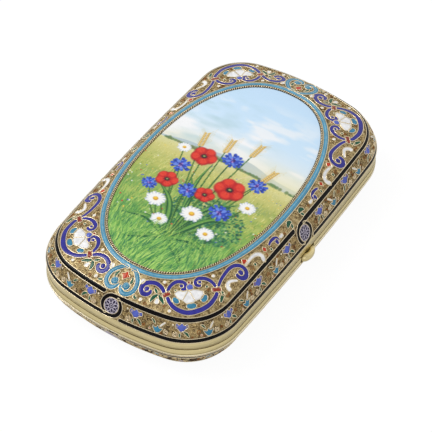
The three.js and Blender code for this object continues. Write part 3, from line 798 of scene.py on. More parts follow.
def add_ribbon(bm, line, width, place):
    """The section's pairs are a share of the way across and a height."""
    left, right = ribbon_edges(line, width)

    def spot(column, row):
        across, lift = RIBBON_SECTION[row % len(RIBBON_SECTION)]
        x, y = left[column] * (1 - across) + right[column] * across
        return place(x, y, lift)

    bend_grid(bm, len(line) - 1, len(RIBBON_SECTION), spot)


def add_cell(bm, rim, place, dome=GLASS_DOME):
    """rim is a closed line, whose last point is its first."""
    heart = rim[:-1].mean(axis=0)
    section = [(0, GLASS_FOOT), (1, GLASS_FOOT), (1, 0), (0.6, 0.7 * dome), (0, dome)]

    def spot(column, row):
        reach, lift = section[row]
        x, y = heart + (rim[column % (len(rim) - 1)] - heart) * reach
        return place(x, y, lift)

    bend_grid(bm, len(rim) - 1, len(section) - 1, spot)


def add_tube(bm, points, outward, radius, closed, sides):
    """A tube through points in millimetres; an open one is drawn to a point at both ends."""
    last = len(points) - 1

    def spot(column, row):
        before, after = max(column - 1, 0), min(column + 1, last)
        if closed and column in (0, last):
            column, before, after = 0, last - 1, 1
        side = (points[after] - points[before]).cross(outward[column]).normalized()
        thick = radius if closed or 0 < column < last else 0
        angle = 2 * math.pi * (row % sides) / sides
        return points[column] + thick * (math.cos(angle) * side + math.sin(angle) * outward[column])

    bend_grid(bm, last, sides, spot)


def add_wire(bm, line, place, radius=WIRE_RADIUS, lift=WIRE_LIFT, closed=False, sides=5):
    points = [place(x, y, lift) for x, y in line]
    outward = [(place(x, y, lift + 1) - point).normalized() for (x, y), point in zip(line, points)]
    add_tube(bm, points, outward, radius, closed, sides)


def round_line(x, y, radius, steps=14):
    angles = np.linspace(0, 2 * math.pi, steps + 1)
    return np.stack([x + radius * np.cos(angles), y + radius * np.sin(angles)], axis=1)


# %% [markdown]
# A cell and its wires always go together, so three short names stand for the enameller's three
# strokes: a stroke of colour along a line, a drop of colour inside a closed line, and a dot. Each
# ornament is drawn once and laid at several places. It collects its glass by colour and its wires
# apart, so every finish becomes one piece, and it remembers where the metal is already taken.

# %% Strokes, drops and dots


class Ornament:
    """One drawing that is laid at several places of the case."""

    def __init__(self, places):
        self.places = places
        self.meshes = {}
        self.taken = []

    def mesh(self, finish):
        if finish not in self.meshes:
            self.meshes[finish] = bmesh.new()
        return self.meshes[finish]

    def wire(self, line, radius=WIRE_RADIUS, lift=WIRE_LIFT, closed=False, sides=5, finish="wire"):
        for place in self.places:
            add_wire(self.mesh(finish), line, place, radius, lift, closed, sides)

    def stroke(self, colour, points, width):
        line = smooth_line(points)
        left, right = ribbon_edges(line, width)
        self.taken += [(x, y, half) for (x, y), half in zip(line, half_widths(line, width))]
        for place in self.places:
            add_ribbon(self.mesh(colour), line, width, place)
        self.wire(np.concatenate([left, right[-2::-1]]), closed=True)

    def drop(self, colour, points, dome=GLASS_DOME, sharp=False):
        rim = straight_line(points) if sharp else smooth_line(points, closed=True)
        heart = rim.mean(axis=0)
        self.taken += [(*heart, 0.7 * np.linalg.norm(rim - heart, axis=1).min())]
        self.taken += [(x, y, 0.1) for x, y in rim]
        for place in self.places:
            add_cell(self.mesh(colour), rim, place, dome)
        self.wire(rim, closed=True)

    def dot(self, colour, x, y, radius):
        self.taken.append((x, y, radius))
        for place in self.places:
            add_cell(self.mesh(colour), round_line(x, y, radius), place, 0.35 * radius)
        self.wire(round_line(x, y, radius), closed=True)

    def finish(self, name, body, wire=bright_gilt, filigree=filigree_gilt):
        gilts = {"wire": wire, "filigree": filigree}
        for finish, bm in self.meshes.items():
            material = gilts.get(finish) or enamels[finish]
            make_piece(f"{name}_{finish}", bm, material, body)


def oval_drop(x, y, half_width, half_height, degrees):
    turn = math.radians(degrees)
    rim = round_line(0, 0, 1, 8)[:-1] * (half_width, half_height)
    return [
        (x + math.cos(turn) * a - math.sin(turn) * b, y + math.sin(turn) * a + math.cos(turn) * b)
        for a, b in rim
    ]


def square_drop(x, y, half):
    return [(x, y + half), (x + half, y), (x, y - half), (x - half, y)]


def bar_drop(start, end, width):
    """The four corners of a straight bar."""
    start, end = Vector(start), Vector(end)
    aside = (end - start).orthogonal().normalized() * width / 2
    return [tuple(corner) for corner in (start + aside, end + aside, end - aside, start - aside)]


def fuller(width, extra):
    return [(share, size + extra) for share, size in width]


print("An ornament is made of strokes, drops, dots and wires")

# %% [markdown]
# Between the cells the real case has filigree: hair-thin wires curled into small spirals that
# fill whatever space is left. Drawing hundreds of them by hand would be tedious, so they are
# packed by rule. Random spots are tried, each with the largest spiral that stays clear of all that
# is already there, and the random numbers are seeded so that every run gives the same spirals.

# %% Packing filigree spirals
SPIRAL_WIRE = 0.1
SPIRAL_LIFT = 0.0
LARGEST_SPIRAL = 0.78
SMALLEST_SPIRAL = 0.3
SPIRAL_CLEARANCE = 0.12
AMBER_SHARE = 0.2
ALL_ROUND = 6.28


def spiral_line(x, y, radius, start, hand):
    """A curl of a little more than one turn, with a short tail; hand is 1 or -1."""
    turned_by = np.linspace(0, 2.4 * math.pi, 15)
    reach = radius * (1 - 0.8 * turned_by / turned_by[-1])
    angle = start + hand * turned_by
    spiral = np.stack([x + reach * np.cos(angle), y + reach * np.sin(angle)], axis=1)
    lead = start - 0.6 * hand
    tail = [x + 1.25 * radius * math.cos(lead), y + 1.25 * radius * math.sin(lead)]
    return smooth_line([tail, *spiral], spacing=max(0.12, 0.24 * radius))


def pack_spirals(ornament, walls, spot, tries, seed):
    """walls are (x, y, radius) circles to stay clear of; spot() gives a random point to try."""
    draw = random.Random(seed)
    taken = np.array(ornament.taken + walls)
    made = 0
    for _ in range(tries):
        x, y = spot(draw)
        room = (np.hypot(taken[:, 0] - x, taken[:, 1] - y) - taken[:, 2]).min() - SPIRAL_CLEARANCE
        if room < SMALLEST_SPIRAL:
            continue
        radius = min(room, LARGEST_SPIRAL)
        line = spiral_line(x, y, radius, draw.uniform(0, ALL_ROUND), draw.choice([-1, 1]))
        finish = "amber" if draw.random() < AMBER_SHARE else "filigree"
        ornament.wire(line, SPIRAL_WIRE, SPIRAL_LIFT, sides=4, finish=finish)
        taken = np.concatenate([taken, [(x, y, radius)]])
        made += 1
    print(made, "spirals in each quarter")


# %% [markdown]
# The lid's border repeats one quarter four times, mirrored at the middles of the sides. Its lines
# are read from the photograph and given in millimetres from the middle of the lid. From the end's
# middle outwards they are: half of a turquoise heart, a blue scroll, a large blue medallion round
# a white palmette, and a run of smaller scrolls and commas down the long side.

# %% The quarter border's lines
HEART = [(0.3, 43.6), (1.5, 43.3), (2.4, 43.95), (3.4, 44.9), (4.2, 46.1), (4.55, 47.4), (4.45, 48.8),
         (3.6, 50.0), (2.4, 50.5), (1.35, 50.15), (0.8, 49.2), (1.2, 48.5)]
BLUE_STROKES = [
    ([(12.9, 44.9), (12.2, 44.6), (11.1, 43.95), (9.8, 43.6), (8.5, 43.65), (7.1, 44.3), (6.2, 45.2),
      (5.9, 46.2), (6.2, 47.2), (7.1, 47.85), (8.2, 47.6), (8.75, 46.7), (8.3, 45.9)],
     [(0, 1.0), (0.5, 1.3), (0.85, 1.3), (1, 1.1)]),
    ([(13.5, 45.2), (15.0, 46.2), (16.8, 46.85), (18.5, 46.9), (20.3, 46.5), (21.9, 45.4), (23.1, 43.9),
      (24.1, 42.1), (24.6, 40.3), (24.6, 38.4), (24.4, 36.8), (23.9, 35.9)],
     [(0, 1.0), (0.5, 1.45), (1, 1.0)]),
    ([(13.1, 44.3), (12.7, 43.3), (12.6, 42.2), (12.85, 41.0), (13.5, 39.9), (14.6, 39.3), (15.8, 39.4),
      (16.4, 40.2), (16.1, 41.0), (15.4, 40.9)], [(0, 0.85), (0.6, 1.15), (1, 1.0)]),
    ([(23.2, 35.2), (22.4, 34.7), (21.5, 34.4), (20.1, 34.35), (18.7, 34.8), (17.7, 35.7), (17.5, 36.8),
      (18.1, 37.6), (19.0, 37.4), (19.0, 36.7)], [(0, 0.85), (0.6, 1.2), (1, 1.0)]),
    ([(23.6, 34.9), (23.1, 33.6), (22.7, 32.0), (22.45, 29.5), (22.5, 27.6), (23.0, 26.1), (24.1, 24.95),
      (25.4, 24.65), (26.6, 25.2), (27.1, 26.4), (26.7, 27.5), (25.7, 27.9), (24.9, 27.3)],
     [(0, 0.75), (0.5, 1.05), (0.85, 1.25), (1, 1.1)]),
    ([(26.4, 13.7), (26.1, 12.2), (26.2, 10.7), (26.9, 9.7), (27.6, 10.1)],
     [(0, 0.45), (0.6, 0.75), (1, 1.0)]),
]
BLUE_EYES = [
    (7.5, 46.3, 0.85), (15.1, 40.35, 0.62), (18.5, 36.5, 0.62), (25.5, 26.45, 0.85), (27.3, 10.5, 0.7),
]
WHITE_STROKES = [
    ([(26.7, 32.9), (25.8, 32.9), (24.95, 32.1), (24.85, 31.0), (25.5, 29.9), (26.3, 29.0)],
     [(0, 1.4), (0.25, 1.05), (1, 0.45)]),
    ([(25.3, 23.8), (25.1, 22.0), (25.1, 20.0), (25.6, 18.4), (26.6, 17.6), (27.5, 18.0), (27.8, 18.7)],
     [(0, 0.4), (0.6, 0.9), (1, 1.3)]),
    ([(27.0, 9.0), (27.2, 8.2), (27.05, 7.2)], [(0, 0.45), (1, 0.75)]),
    ([(5.1, 44.1), (5.2, 44.9), (5.0, 45.9)], [(0, 1.3), (0.6, 1.0), (1, 0.35)]),
    ([(12.1, 48.7), (11.9, 47.8), (11.5, 47.0)], [(0, 1.5), (0.5, 1.1), (1, 0.4)]),
]
WHITE_DOTS = [(7.6, 49.6, 0.5), (10.6, 42.0, 0.48), (16.5, 48.4, 0.48), (20.4, 32.5, 0.5)]
GREEN_STROKES = [
    ([(11.2, 46.0), (10.6, 47.0), (10.3, 48.0), (10.4, 49.0)], [(0, 0.4), (0.45, 1.0), (1, 0.3)]),
    ([(11.3, 46.0), (12.3, 46.6), (13.2, 47.0), (14.1, 47.6)], [(0, 0.4), (0.45, 0.95), (1, 0.3)]),
    ([(10.9, 45.9), (10.0, 45.4), (9.2, 44.9)], [(0, 0.35), (0.5, 0.65), (1, 0.25)]),
    ([(5.3, 49.3), (5.7, 49.9), (6.3, 49.9), (6.4, 49.5)], [(0, 0.35), (0.5, 0.6), (1, 0.35)]),
    ([(26.6, 38.0), (26.2, 37.0), (25.9, 36.0), (26.0, 35.0)], [(0, 0.3), (0.5, 0.8), (1, 0.3)]),
    ([(25.9, 35.8), (25.4, 35.2), (24.7, 34.9)], [(0, 0.35), (0.5, 0.6), (1, 0.25)]),
    ([(2.1, 45.3), (2.6, 46.3), (2.5, 47.3), (1.9, 47.9)], [(0, 0.3), (0.5, 0.7), (1, 0.3)]),
    ([(27.2, 4.6), (26.7, 3.7), (26.6, 2.8), (27.0, 2.0)], [(0, 0.35), (0.5, 1.0), (1, 0.3)]),
    ([(28.0, 3.4), (27.6, 2.8), (27.2, 2.3)], [(0, 0.3), (0.5, 0.6), (1, 0.3)]),
]
GREEN_DOTS = [(14.6, 42.5, 0.42), (20.9, 36.4, 0.42), (26.9, 21.2, 0.45), (27.4, 13.7, 0.4)]
PALMETTE = [
    [(17.45, 40.2), (17.85, 43.95), (16.4, 44.2), (14.8, 43.45), (14.7, 42.4), (15.6, 41.8),
     (16.5, 41.3)],
    [(17.45, 40.2), (20.9, 42.0), (20.5, 43.1), (19.3, 44.1), (17.85, 43.95)],
    [(17.45, 40.2), (18.6, 39.1), (19.6, 38.6), (20.9, 38.1), (21.7, 38.8), (21.9, 40.2), (20.9, 42.0)],
]
PALMETTE_TIPS = [(16.3, 44.9, 1.2, 0.85, 14), (20.8, 43.8, 1.5, 0.95, -42), (22.4, 39.8, 0.9, 1.3, -8)]
RED_BARS = [((12.5, 45.8), (13.7, 43.8), 1.35), ((22.6, 36.4), (24.4, 34.4), 1.35)]
RED_SQUARES = [(24.4, 22.95, 1.05), (26.2, 15.5, 0.8)]
LOZENGE = [
    (0, 47.25), (0.62, 46.37), (1.5, 45.75), (0.62, 45.13), (0, 44.25), (-0.62, 45.13),
    (-1.5, 45.75), (-0.62, 46.37),
]
print(len(BLUE_STROKES), "blue scrolls in each quarter")

# %% [markdown]
# The border is laid from large to small: the heart and the scrolls first, then the petals and
# bars, and last the filigree in the space that is left. The four quarters share one drawing, so
# a change in it shows at all four corners at once.

# %% Draw the border


def draw_border(ornament):
    """One quarter of the scroll border."""
    ornament.stroke("turquoise", HEART, [(0, 0.9), (0.2, 1.45), (0.85, 1.45), (1, 1.5)])
    # The pale line along the heart and the pale ring in its eye are painted highlights on the domed
    # glass.
    ornament.wire(smooth_line(HEART[1:-1]), 0.13, 0.02, finish="sky")
    ornament.dot("turquoise", 1.9, 48.4, 1.2)
    ornament.wire(round_line(1.9, 48.4, 0.6), 0.12, 0.3, closed=True, finish="sky")
    for colour, strokes, extra in [
        ("ultramarine", BLUE_STROKES, 0.22),
        ("white", WHITE_STROKES, 0.2),
        ("green", GREEN_STROKES, 0.3),
    ]:
        for points, width in strokes:
            ornament.stroke(colour, points, fuller(width, extra))
    for colour, dots in [("ultramarine", BLUE_EYES), ("white", WHITE_DOTS), ("green", GREEN_DOTS)]:
        for dot in dots:
            ornament.dot(colour, *dot)
    for petal in PALMETTE:
        ornament.drop("white", petal, sharp=True)
    for tip in PALMETTE_TIPS:
        ornament.drop("turquoise", oval_drop(*tip))
    ornament.dot("periwinkle", 17.25, 39.35, 1.0)
    ornament.dot("rust", 16.2, 38.3, 0.45)
    for bar in RED_BARS:
        ornament.drop("rust", bar_drop(*bar), 0.2, sharp=True)
    for x, y, half in RED_SQUARES:
        ornament.drop("red", square_drop(x, y, half), sharp=True)


WALL_STEP = 0.6
AXIS_WALL = 0.1


def border_walls():
    """Circles along the black line, along the oval ring and along the middles of the sides."""
    walks = np.arange(0, QUARTER, WALL_STEP)
    edge = [(*outline(walked, SHOULDER_INSET), 0.6) for walked in walks]
    oval = [(*oval_point(walked), 1.0) for walked in walks]
    end_middle = [(0, y, AXIS_WALL) for y in np.arange(42, 52, WALL_STEP)]
    side_middle = [(x, 0, AXIS_WALL) for x in (25, 26, 27, 28)]
    return edge + oval + end_middle + side_middle


def border_spot(draw):
    walked, share = draw.uniform(0, QUARTER), draw.uniform(0.1, 0.9)
    return tuple(Vector(outline(walked, SHOULDER_INSET)).lerp(oval_point(walked), share))


border = Ornament(four_quarters(on_lid_top))
draw_border(border)
pack_spirals(border, border_walls(), border_spot, 7000, seed=5)
border.finish("lid_border", "lid")
lozenges = Ornament([quarter_of_top(on_lid_top, 1, sign) for sign in (1, -1)])
lozenges.drop("red", LOZENGE, sharp=True)
lozenges.finish("lid_lozenge", "lid")

# %% [markdown]
# The ground under the border is gilt metal with a fine stipple. It is one closed band, swept
# round the oval a little below the lid's surface, so that the enamel and the wires stand up
# from it.

# %% Ground of the border
ground = bmesh.new()
GROUND_SINK = 0.1
GROUND_DEPTH = 0.6
sweep(ground, [
    top_ring(from_edge=0.2, lift=-GROUND_SINK),
    *[lambda walked, s=k / 10: top_point(walked, s, -GROUND_SINK) for k in range(1, 10)],
    top_ring(from_oval=0.3, lift=-GROUND_SINK),
    top_ring(from_oval=0.3, lift=-GROUND_DEPTH),
    top_ring(from_edge=0.2, lift=-GROUND_DEPTH),
])
make_piece("lid_border_ground", ground, top_stipple, "lid", ["lid_border_panel"])

# %% [markdown]
# Two black lines edge each shoulder, and at the middle of every side they leave it to form a
# roundel. Each upper line starts as a hook over and down one side of the roundel before it, and
# each lower line starts as a hook under and up the other side of the roundel after it. So two
# strokes, drawn once and laid four times, give the lines and all four black rings.

# %% Black lines with their hooks
ROUNDEL_UP = 3.75
HOOK_RADIUS = 3.0
UPPER_LINE_UP = 6.86
LOWER_LINE_UP = 0.66


def around_roundel(degrees, radius=HOOK_RADIUS):
    angle = math.radians(degrees)
    return radius * math.cos(angle), ROUNDEL_UP + radius * math.sin(angle)


UPPER_LINE = [
    *[around_roundel(degrees) for degrees in range(248, 90, -22)],
    (0.8, 6.76), (2.0, 6.8), (3.5, UPPER_LINE_UP), (8, UPPER_LINE_UP),
    *[(walked, UPPER_LINE_UP) for walked in range(16, 72, 8)],
    (QUARTER - 4.2, UPPER_LINE_UP), (QUARTER - 3.1, UPPER_LINE_UP - 0.25),
]
LOWER_LINE = [
    *[around_roundel(degrees) for degrees in range(68, -90, -22)],
    (-0.8, 0.68), (-2.0, 0.6), (-3.5, LOWER_LINE_UP), (-8, LOWER_LINE_UP),
    *[(-walked, LOWER_LINE_UP) for walked in range(16, 72, 8)],
    (4.2 - QUARTER, LOWER_LINE_UP), (3.0 - QUARTER, LOWER_LINE_UP + 0.15),
]


def draw_lines(ornament):
    ornament.stroke("black", UPPER_LINE, [(0, 0.8), (0.04, 1.25), (0.11, 1.25), (0.15, 1.35), (1, 1.35)])
    ornament.stroke("black", LOWER_LINE, [(0, 0.8), (0.04, 1.25), (0.11, 1.25), (0.15, 1.3), (1, 1.3)])


def four_sides(place):
    return [lambda a, b, lift, start=k * QUARTER: place(start + a, b, lift) for k in range(4)]


lid_lines = Ornament(four_sides(on_lid_band))
draw_lines(lid_lines)
lid_lines.finish("lid_line", "lid")
base_lines = Ornament(four_sides(on_base_band))
draw_lines(base_lines)
base_lines.finish("base_line", "base")

# %% [markdown]
# Inside each black ring sits a rosette: a dark violet disc on which silvery wires outline eight
# petals. The petals are one closed line turned round the middle, a job for a loop.

# %% Roundel rosettes
ROSETTE_RADIUS = 2.3
PETALS = 8
SILVER_WIRE = 0.1


def draw_rosette(ornament):
    disc = round_line(0, ROUNDEL_UP, ROSETTE_RADIUS, 40)
    for place in ornament.places:
        add_cell(ornament.mesh("violet"), disc, place, 0.02)
    for k in range(PETALS):
        degrees = (k + 0.5) * 360 / PETALS
        x, y = around_roundel(degrees, 0.62 * ROSETTE_RADIUS)
        petal = smooth_line(oval_drop(x, y, 0.68, 0.42, degrees), closed=True)
        ornament.wire(petal, SILVER_WIRE, 0.06, closed=True, finish="lilac")
    for radius in (0.35, 2.25):
        circle = round_line(0, ROUNDEL_UP, radius, round(16 + 10 * radius))
        ornament.wire(circle, SILVER_WIRE, 0.06, closed=True, finish="lilac")


rosettes = Ornament(four_sides(on_lid_band))
draw_rosette(rosettes)
rosettes.finish("lid_rosette", "lid")
base_rosettes = Ornament(four_sides(on_base_band))
draw_rosette(base_rosettes)
base_rosettes.finish("base_rosette", "base")

# %% [markdown]
# The shoulder carries a garland. Periwinkle palmettes and turquoise flowers follow each other
# about 7.5 mm apart, with a white stem, dark green leaves and filigree between them. Here the flat
# drawing's first number is the distance walked round the case and its second the height on the
# slope, so the flowers bend round the corners by themselves.

# %% Shoulder garland
PALMETTE_WALKS = [9.0, 24.0, 38.7, 55.0, 69.5]
FLOWER_WALKS = [16.0, 31.0, 46.8, 62.3]
PALMETTE_BLOOM = [
    (-2.1, 0.2), (-1.75, 1.15), (-0.8, 0.8), (0, 1.45), (0.8, 0.8), (1.75, 1.2), (2.1, 0.1),
    (1.15, -0.5), (0.5, -1.15), (-0.4, -1.1), (-1.1, -0.45),
]
FLOWER_BLOOM = [
    (-1.6, 0.7), (-0.6, 0.4), (0, 1.15), (0.6, 0.4), (1.6, 0.75), (1.1, -0.4), (0.35, -1.25),
    (-0.4, -1.15), (-1.1, -0.35),
]
BAND_LOW = 1.15
BAND_HIGH = 6.1


def shifted(points, x, y):
    return [(x + a, y + b) for a, b in points]


def draw_garland(ornament):
    """One quarter of the shoulder's flowers."""
    for walked in PALMETTE_WALKS:
        ornament.drop("periwinkle", shifted(PALMETTE_BLOOM, walked, 4.65))
        ornament.stroke("green", [(walked - 0.5, 3.5), (walked - 1.5, 3.0), (walked - 2.3, 1.8)],
                        [(0, 0.5), (0.5, 1.0), (1, 0.35)])
        ornament.stroke("green", [(walked + 0.3, 3.2), (walked + 0.6, 2.3), (walked + 0.2, 1.6)],
                        [(0, 0.4), (0.5, 0.75), (1, 0.3)])
        ornament.stroke("amber", spiral_line(walked + 2.1, 2.5, 0.75, 2.4, 1)[::3], 0.34)
        ornament.dot("white", walked + 2.8, 5.2, 0.24)
    for walked in FLOWER_WALKS:
        ornament.drop("turquoise", shifted(FLOWER_BLOOM, walked, 2.75))
        ornament.stroke("white", [(walked - 0.5, 3.6), (walked - 1.2, 4.5), (walked - 2.1, 5.4)],
                        [(0, 0.5), (0.5, 0.62), (1, 0.42)])
        ornament.stroke("green", [(walked + 0.8, 4.0), (walked + 1.5, 4.8), (walked + 2.3, 5.4)],
                        [(0, 0.35), (0.5, 0.75), (1, 0.3)])
        ornament.stroke("amber", spiral_line(walked - 2.7, 2.6, 0.7, 0.6, -1)[::3], 0.34)
        ornament.dot("red", walked + 2.3, 2.2, 0.3)


def band_walls():
    """Circles round the two roundels and along both black lines."""
    roundels = [(0, ROUNDEL_UP, 3.7), (QUARTER, ROUNDEL_UP, 3.7)]
    walks = np.arange(0, QUARTER, 0.4)
    return roundels + [(walked, height, 0.05) for height in (BAND_LOW, BAND_HIGH) for walked in walks]


def band_spot(draw):
    return draw.uniform(2, QUARTER - 2), draw.uniform(BAND_LOW, BAND_HIGH)


for body, place in (("lid", on_lid_band), ("base", on_base_band)):
    garland = Ornament(four_walks(place))
    draw_garland(garland)
    pack_spirals(garland, band_walls(), band_spot, 7000, seed=8)
    if body == "lid":
        garland.finish("lid_garland", body)
    else:
        # On the base the wires and filigree take darker gilts: painted shade on the shoulder that faces
        # the table.
        garland.finish("base_garland", body, wire=filigree_gilt, filigree=painted_shade_gilt)

# %% [markdown]
# The shoulders have a stippled ground too. Each is a closed band: its outer face follows the
# slope, and its inner face lies deeper and stops short of the rim, to leave room for the catch.

# %% Ground of the shoulders
BANDS = ["far_catch", "far_hinge", "near_hinge", "near_catch"]
ROUNDELS = ["catch_side", "far_end", "hinge_side", "near_end"]
GROUND_HEIGHTS = [0.1, 0.8, 1.6, 2.4, 3.3, 4.2, 5.0, 6.0, SLANT - 0.1]
LOWEST_INSIDE = 0.5
# The base's ground takes the darker stipple, which is painted shade.
for body, stipple, lines in (
    ("lid", band_stipple, ["lid_lower_line", "lid_upper_line"]),
    ("base", base_shade_stipple, ["base_upper_line", "base_back_line"]),
):
    band_ground = bmesh.new()
    on_lid = body == "lid"
    sweep(band_ground, [
        *[shoulder_ring(up, -GROUND_SINK, on_lid) for up in GROUND_HEIGHTS],
        *[shoulder_ring(max(up, LOWEST_INSIDE), -GROUND_DEPTH, on_lid) for up in GROUND_HEIGHTS[::-1]],
    ])
    nodes = [f"{body}_band_{place}" for place in BANDS]
    nodes += [f"{body}_roundel_{side}" for side in ROUNDELS]
    make_piece(f"{body}_shoulder_ground", band_ground, stipple, body, nodes + lines)

# %% [markdown]
# A turquoise ring frames the picture. It is one closed cell between two wires that run all round
# the oval, and inside it lies a rope of two twisted wires. The rope is a pair of tubes whose
# middles circle round the same oval line, half a turn apart, which is how the real rope is made.

# %% Turquoise ring and rope
RING_OUT = 0.62
RING_IN = 0.75
PICTURE_SHRINK = 1.72
ROPE_SHRINK = 1.31
ROPE_TURNS = 300
ROPE_STEPS = 6
STRAND_RADIUS = 0.17
STRAND_REACH = 0.2

ring = bmesh.new()
sweep(ring, [
    top_ring(from_oval=RING_OUT, lift=-GROUND_DEPTH),
    top_ring(from_oval=RING_OUT, lift=0.02),
    top_ring(from_oval=RING_OUT / 2, lift=0.12),
    oval_ring(0.06, lift=0.16),
    oval_ring(RING_IN / 2, lift=0.12),
    oval_ring(RING_IN, lift=0.02),
    oval_ring(RING_IN, lift=-GROUND_DEPTH),
])
make_piece(
    "lid_turquoise_glass", ring, enamels["ring"], "lid", ["lid_turquoise_ring"])
UPRIGHT = Vector((0, 0, 1))


def ring_points(ring_of, steps):
    """Points all round a ring; the last is the first again."""
    return [ring_of(4 * QUARTER * (k % steps) / steps) for k in range(steps + 1)]


def add_ring_wire(bm, ring_of, radius, sides=8):
    add_tube(bm, ring_points(ring_of, STATIONS), [UPRIGHT] * (STATIONS + 1), radius, True, sides)


def even_steps(ring_of, count):
    """Points that are evenly spaced along a ring, for a rope of even twist."""
    fine = np.array(ring_points(ring_of, 2000))
    walked = np.concatenate([[0], np.cumsum(np.linalg.norm(np.diff(fine, axis=0), axis=1))])
    marks = np.linspace(0, walked[-1], count, endpoint=False)
    spots = np.stack([np.interp(marks, walked, axis) for axis in fine.T], axis=1)
    return [Vector(spot) for spot in spots]


ring_line = bmesh.new()
add_ring_wire(ring_line, oval_ring(0.06, lift=0.1), 0.13)
make_piece("lid_ring_highlight", ring_line, enamels["sky"], "lid")
ring_wires = bmesh.new()
add_ring_wire(ring_wires, top_ring(from_oval=RING_OUT + 0.1, lift=0.04), 0.14)
add_ring_wire(ring_wires, oval_ring(RING_IN + 0.1, lift=0.06), 0.12)
make_piece("lid_ring_wires", ring_wires, bright_gilt, "lid")
# The bed under the rope is a dark ring of painted shade, seen between the strands.
rope_bed = bmesh.new()
BED_OUT = RING_IN + 0.05
BED_IN = PICTURE_SHRINK + 0.02
BED_DEPTH = 0.5
sweep(rope_bed, [
    oval_ring(BED_OUT), oval_ring(BED_IN), oval_ring(BED_IN, lift=-BED_DEPTH),
    oval_ring(BED_OUT, lift=-BED_DEPTH),
])
make_piece("lid_rope_shade_bed", rope_bed, painted_shadow_solder, "lid")
count = ROPE_TURNS * ROPE_STEPS
core = even_steps(oval_ring(ROPE_SHRINK, lift=0.14), count)
# One strand is bright gilt and the other the painted-shade gilt, so the twist shows light and dark as
# painted shade.
for strand, name, finish, nodes in [
    (0, "lid_rope_bright_strand", bright_gilt, ["lid_rope_bezel"]),
    (math.pi, "lid_rope_shaded_strand", painted_shade_gilt, []),
]:
    rope = bmesh.new()
    middles = []
    for k in range(count + 1):
        ahead = (core[(k + 1) % count] - core[k - 1]).normalized()
        side = ahead.cross(UPRIGHT)
        phase = strand + 2 * math.pi * k / ROPE_STEPS
        aside = STRAND_REACH * (math.cos(phase) * side + math.sin(phase) * UPRIGHT)
        middles.append(core[k % count] + aside)
    add_tube(rope, middles, [UPRIGHT] * (count + 1), STRAND_RADIUS, True, 6)
    make_piece(name, rope, finish, "lid", nodes)

# %% [markdown]
# The plaque is a miniature, painted with a fine brush on white enamel and fired layer by layer.
# It is built here the same way. A canvas of numbers stands for the white enamel, and each stroke
# is a row of soft dabs of colour, laid from far to near: sky, hills, meadow, grass, flowers. The
# picture is a meadow with a spray of poppies, cornflowers, daisies and wheat.

# %% Canvas and brush
CANVAS_HALF_X = 25.0
CANVAS_HALF_Y = 44.0
DOTS_PER_MM = 10
canvas_x = np.arange(-CANVAS_HALF_X, CANVAS_HALF_X, 1 / DOTS_PER_MM)
canvas_y = np.arange(CANVAS_HALF_Y, -CANVAS_HALF_Y, -1 / DOTS_PER_MM)
canvas = np.zeros((len(canvas_y), len(canvas_x), 3))
painter = np.random.default_rng(21)


def cloudy(cell_x, cell_y):
    """Smooth random values from 0 to 1 in cells of the given size in millimetres."""

    def between(size, cell):
        place = np.arange(size) / (DOTS_PER_MM * cell)
        whole = place.astype(int)
        part = place - whole
        return whole, part * part * (3 - 2 * part)

    knots = painter.random((int(2 * CANVAS_HALF_Y / cell_y) + 3, int(2 * CANVAS_HALF_X / cell_x) + 3))
    row, row_part = between(len(canvas_y), cell_y)
    column, column_part = between(len(canvas_x), cell_x)
    upper = knots[row][:, column] * (1 - column_part) + knots[row][:, column + 1] * column_part
    lower = knots[row + 1][:, column] * (1 - column_part) + knots[row + 1][:, column + 1] * column_part
    return upper * (1 - row_part[:, None]) + lower * row_part[:, None]


def wash(mask, colour):
    canvas[:] += np.clip(mask, 0, 1)[..., None] * (np.array(colour, float) - canvas)


def dab(x, y, half_x, half_y, turn, colour, strength=1.0):
    """One soft oval touch of the brush; turn is in radians."""
    reach = 1.2 * max(half_x, half_y)
    first, last = np.searchsorted(canvas_x, [x - reach, x + reach])
    top, bottom = np.searchsorted(-canvas_y, [-y - reach, reach - y])
    window = canvas[top:bottom, first:last]
    if not window.size:
        return
    a, b = canvas_x[None, first:last] - x, canvas_y[top:bottom, None] - y
    along, across = a * math.cos(turn) + b * math.sin(turn), b * math.cos(turn) - a * math.sin(turn)
    mask = strength * np.clip((1.15 - np.hypot(along / half_x, across / half_y)) / 0.4, 0, 1)
    window += mask[..., None] * (np.array(colour, float) - window)


def brush(points, sizes, colour, strength=1.0):
    """A stroke through the points; sizes are the brush's half widths from start to end."""
    line = smooth_line(points, spacing=0.14)
    halves = np.interp(np.linspace(0, 1, len(line)), np.linspace(0, 1, len(sizes)), sizes)
    for (x, y), half in zip(line, halves):
        dab(x, y, half, half, 0, colour, strength)


# %% [markdown]
# The farthest things are painted first, because each later stroke covers what lies under it.
# Bands of colour give the sky and the field, smooth random values the clouds and the patches of
# grass, and sine waves the hills and the pale path through the field.

# %% Sky, hills and meadow
HORIZON = 5.0
BACKDROP = [
    (-44, (150, 200, 98)), (-34, (134, 188, 92)), (-24, (116, 172, 84)), (-14, (142, 178, 90)),
    (-6, (176, 186, 100)), (1, (208, 204, 128)), (HORIZON - 0.1, (224, 220, 162)),
    (HORIZON, (240, 236, 214)), (8, (240, 240, 228)), (12, (232, 241, 244)),
    (20, (210, 235, 255)), (32, (202, 231, 255)), (44, (198, 227, 253)),
]
levels = [level for level, _ in BACKDROP]
for channel in range(3):
    tones = [tone[channel] for _, tone in BACKDROP]
    canvas[..., channel] = np.interp(canvas_y, levels, tones)[:, None]
in_sky = canvas_y[:, None] > HORIZON
clouds = 0.55 * cloudy(13, 4.5) + 0.3 * cloudy(5.5, 2.2) + 0.15 * cloudy(2.4, 1.0)
cloud_belt = np.interp(canvas_y, [5, 9, 16, 28, 36], [0.2, 0.8, 1.0, 0.6, 0.0])[:, None]
wash(in_sky * cloud_belt * np.clip((clouds - 0.5) * 6, 0, 1), (251, 251, 252))
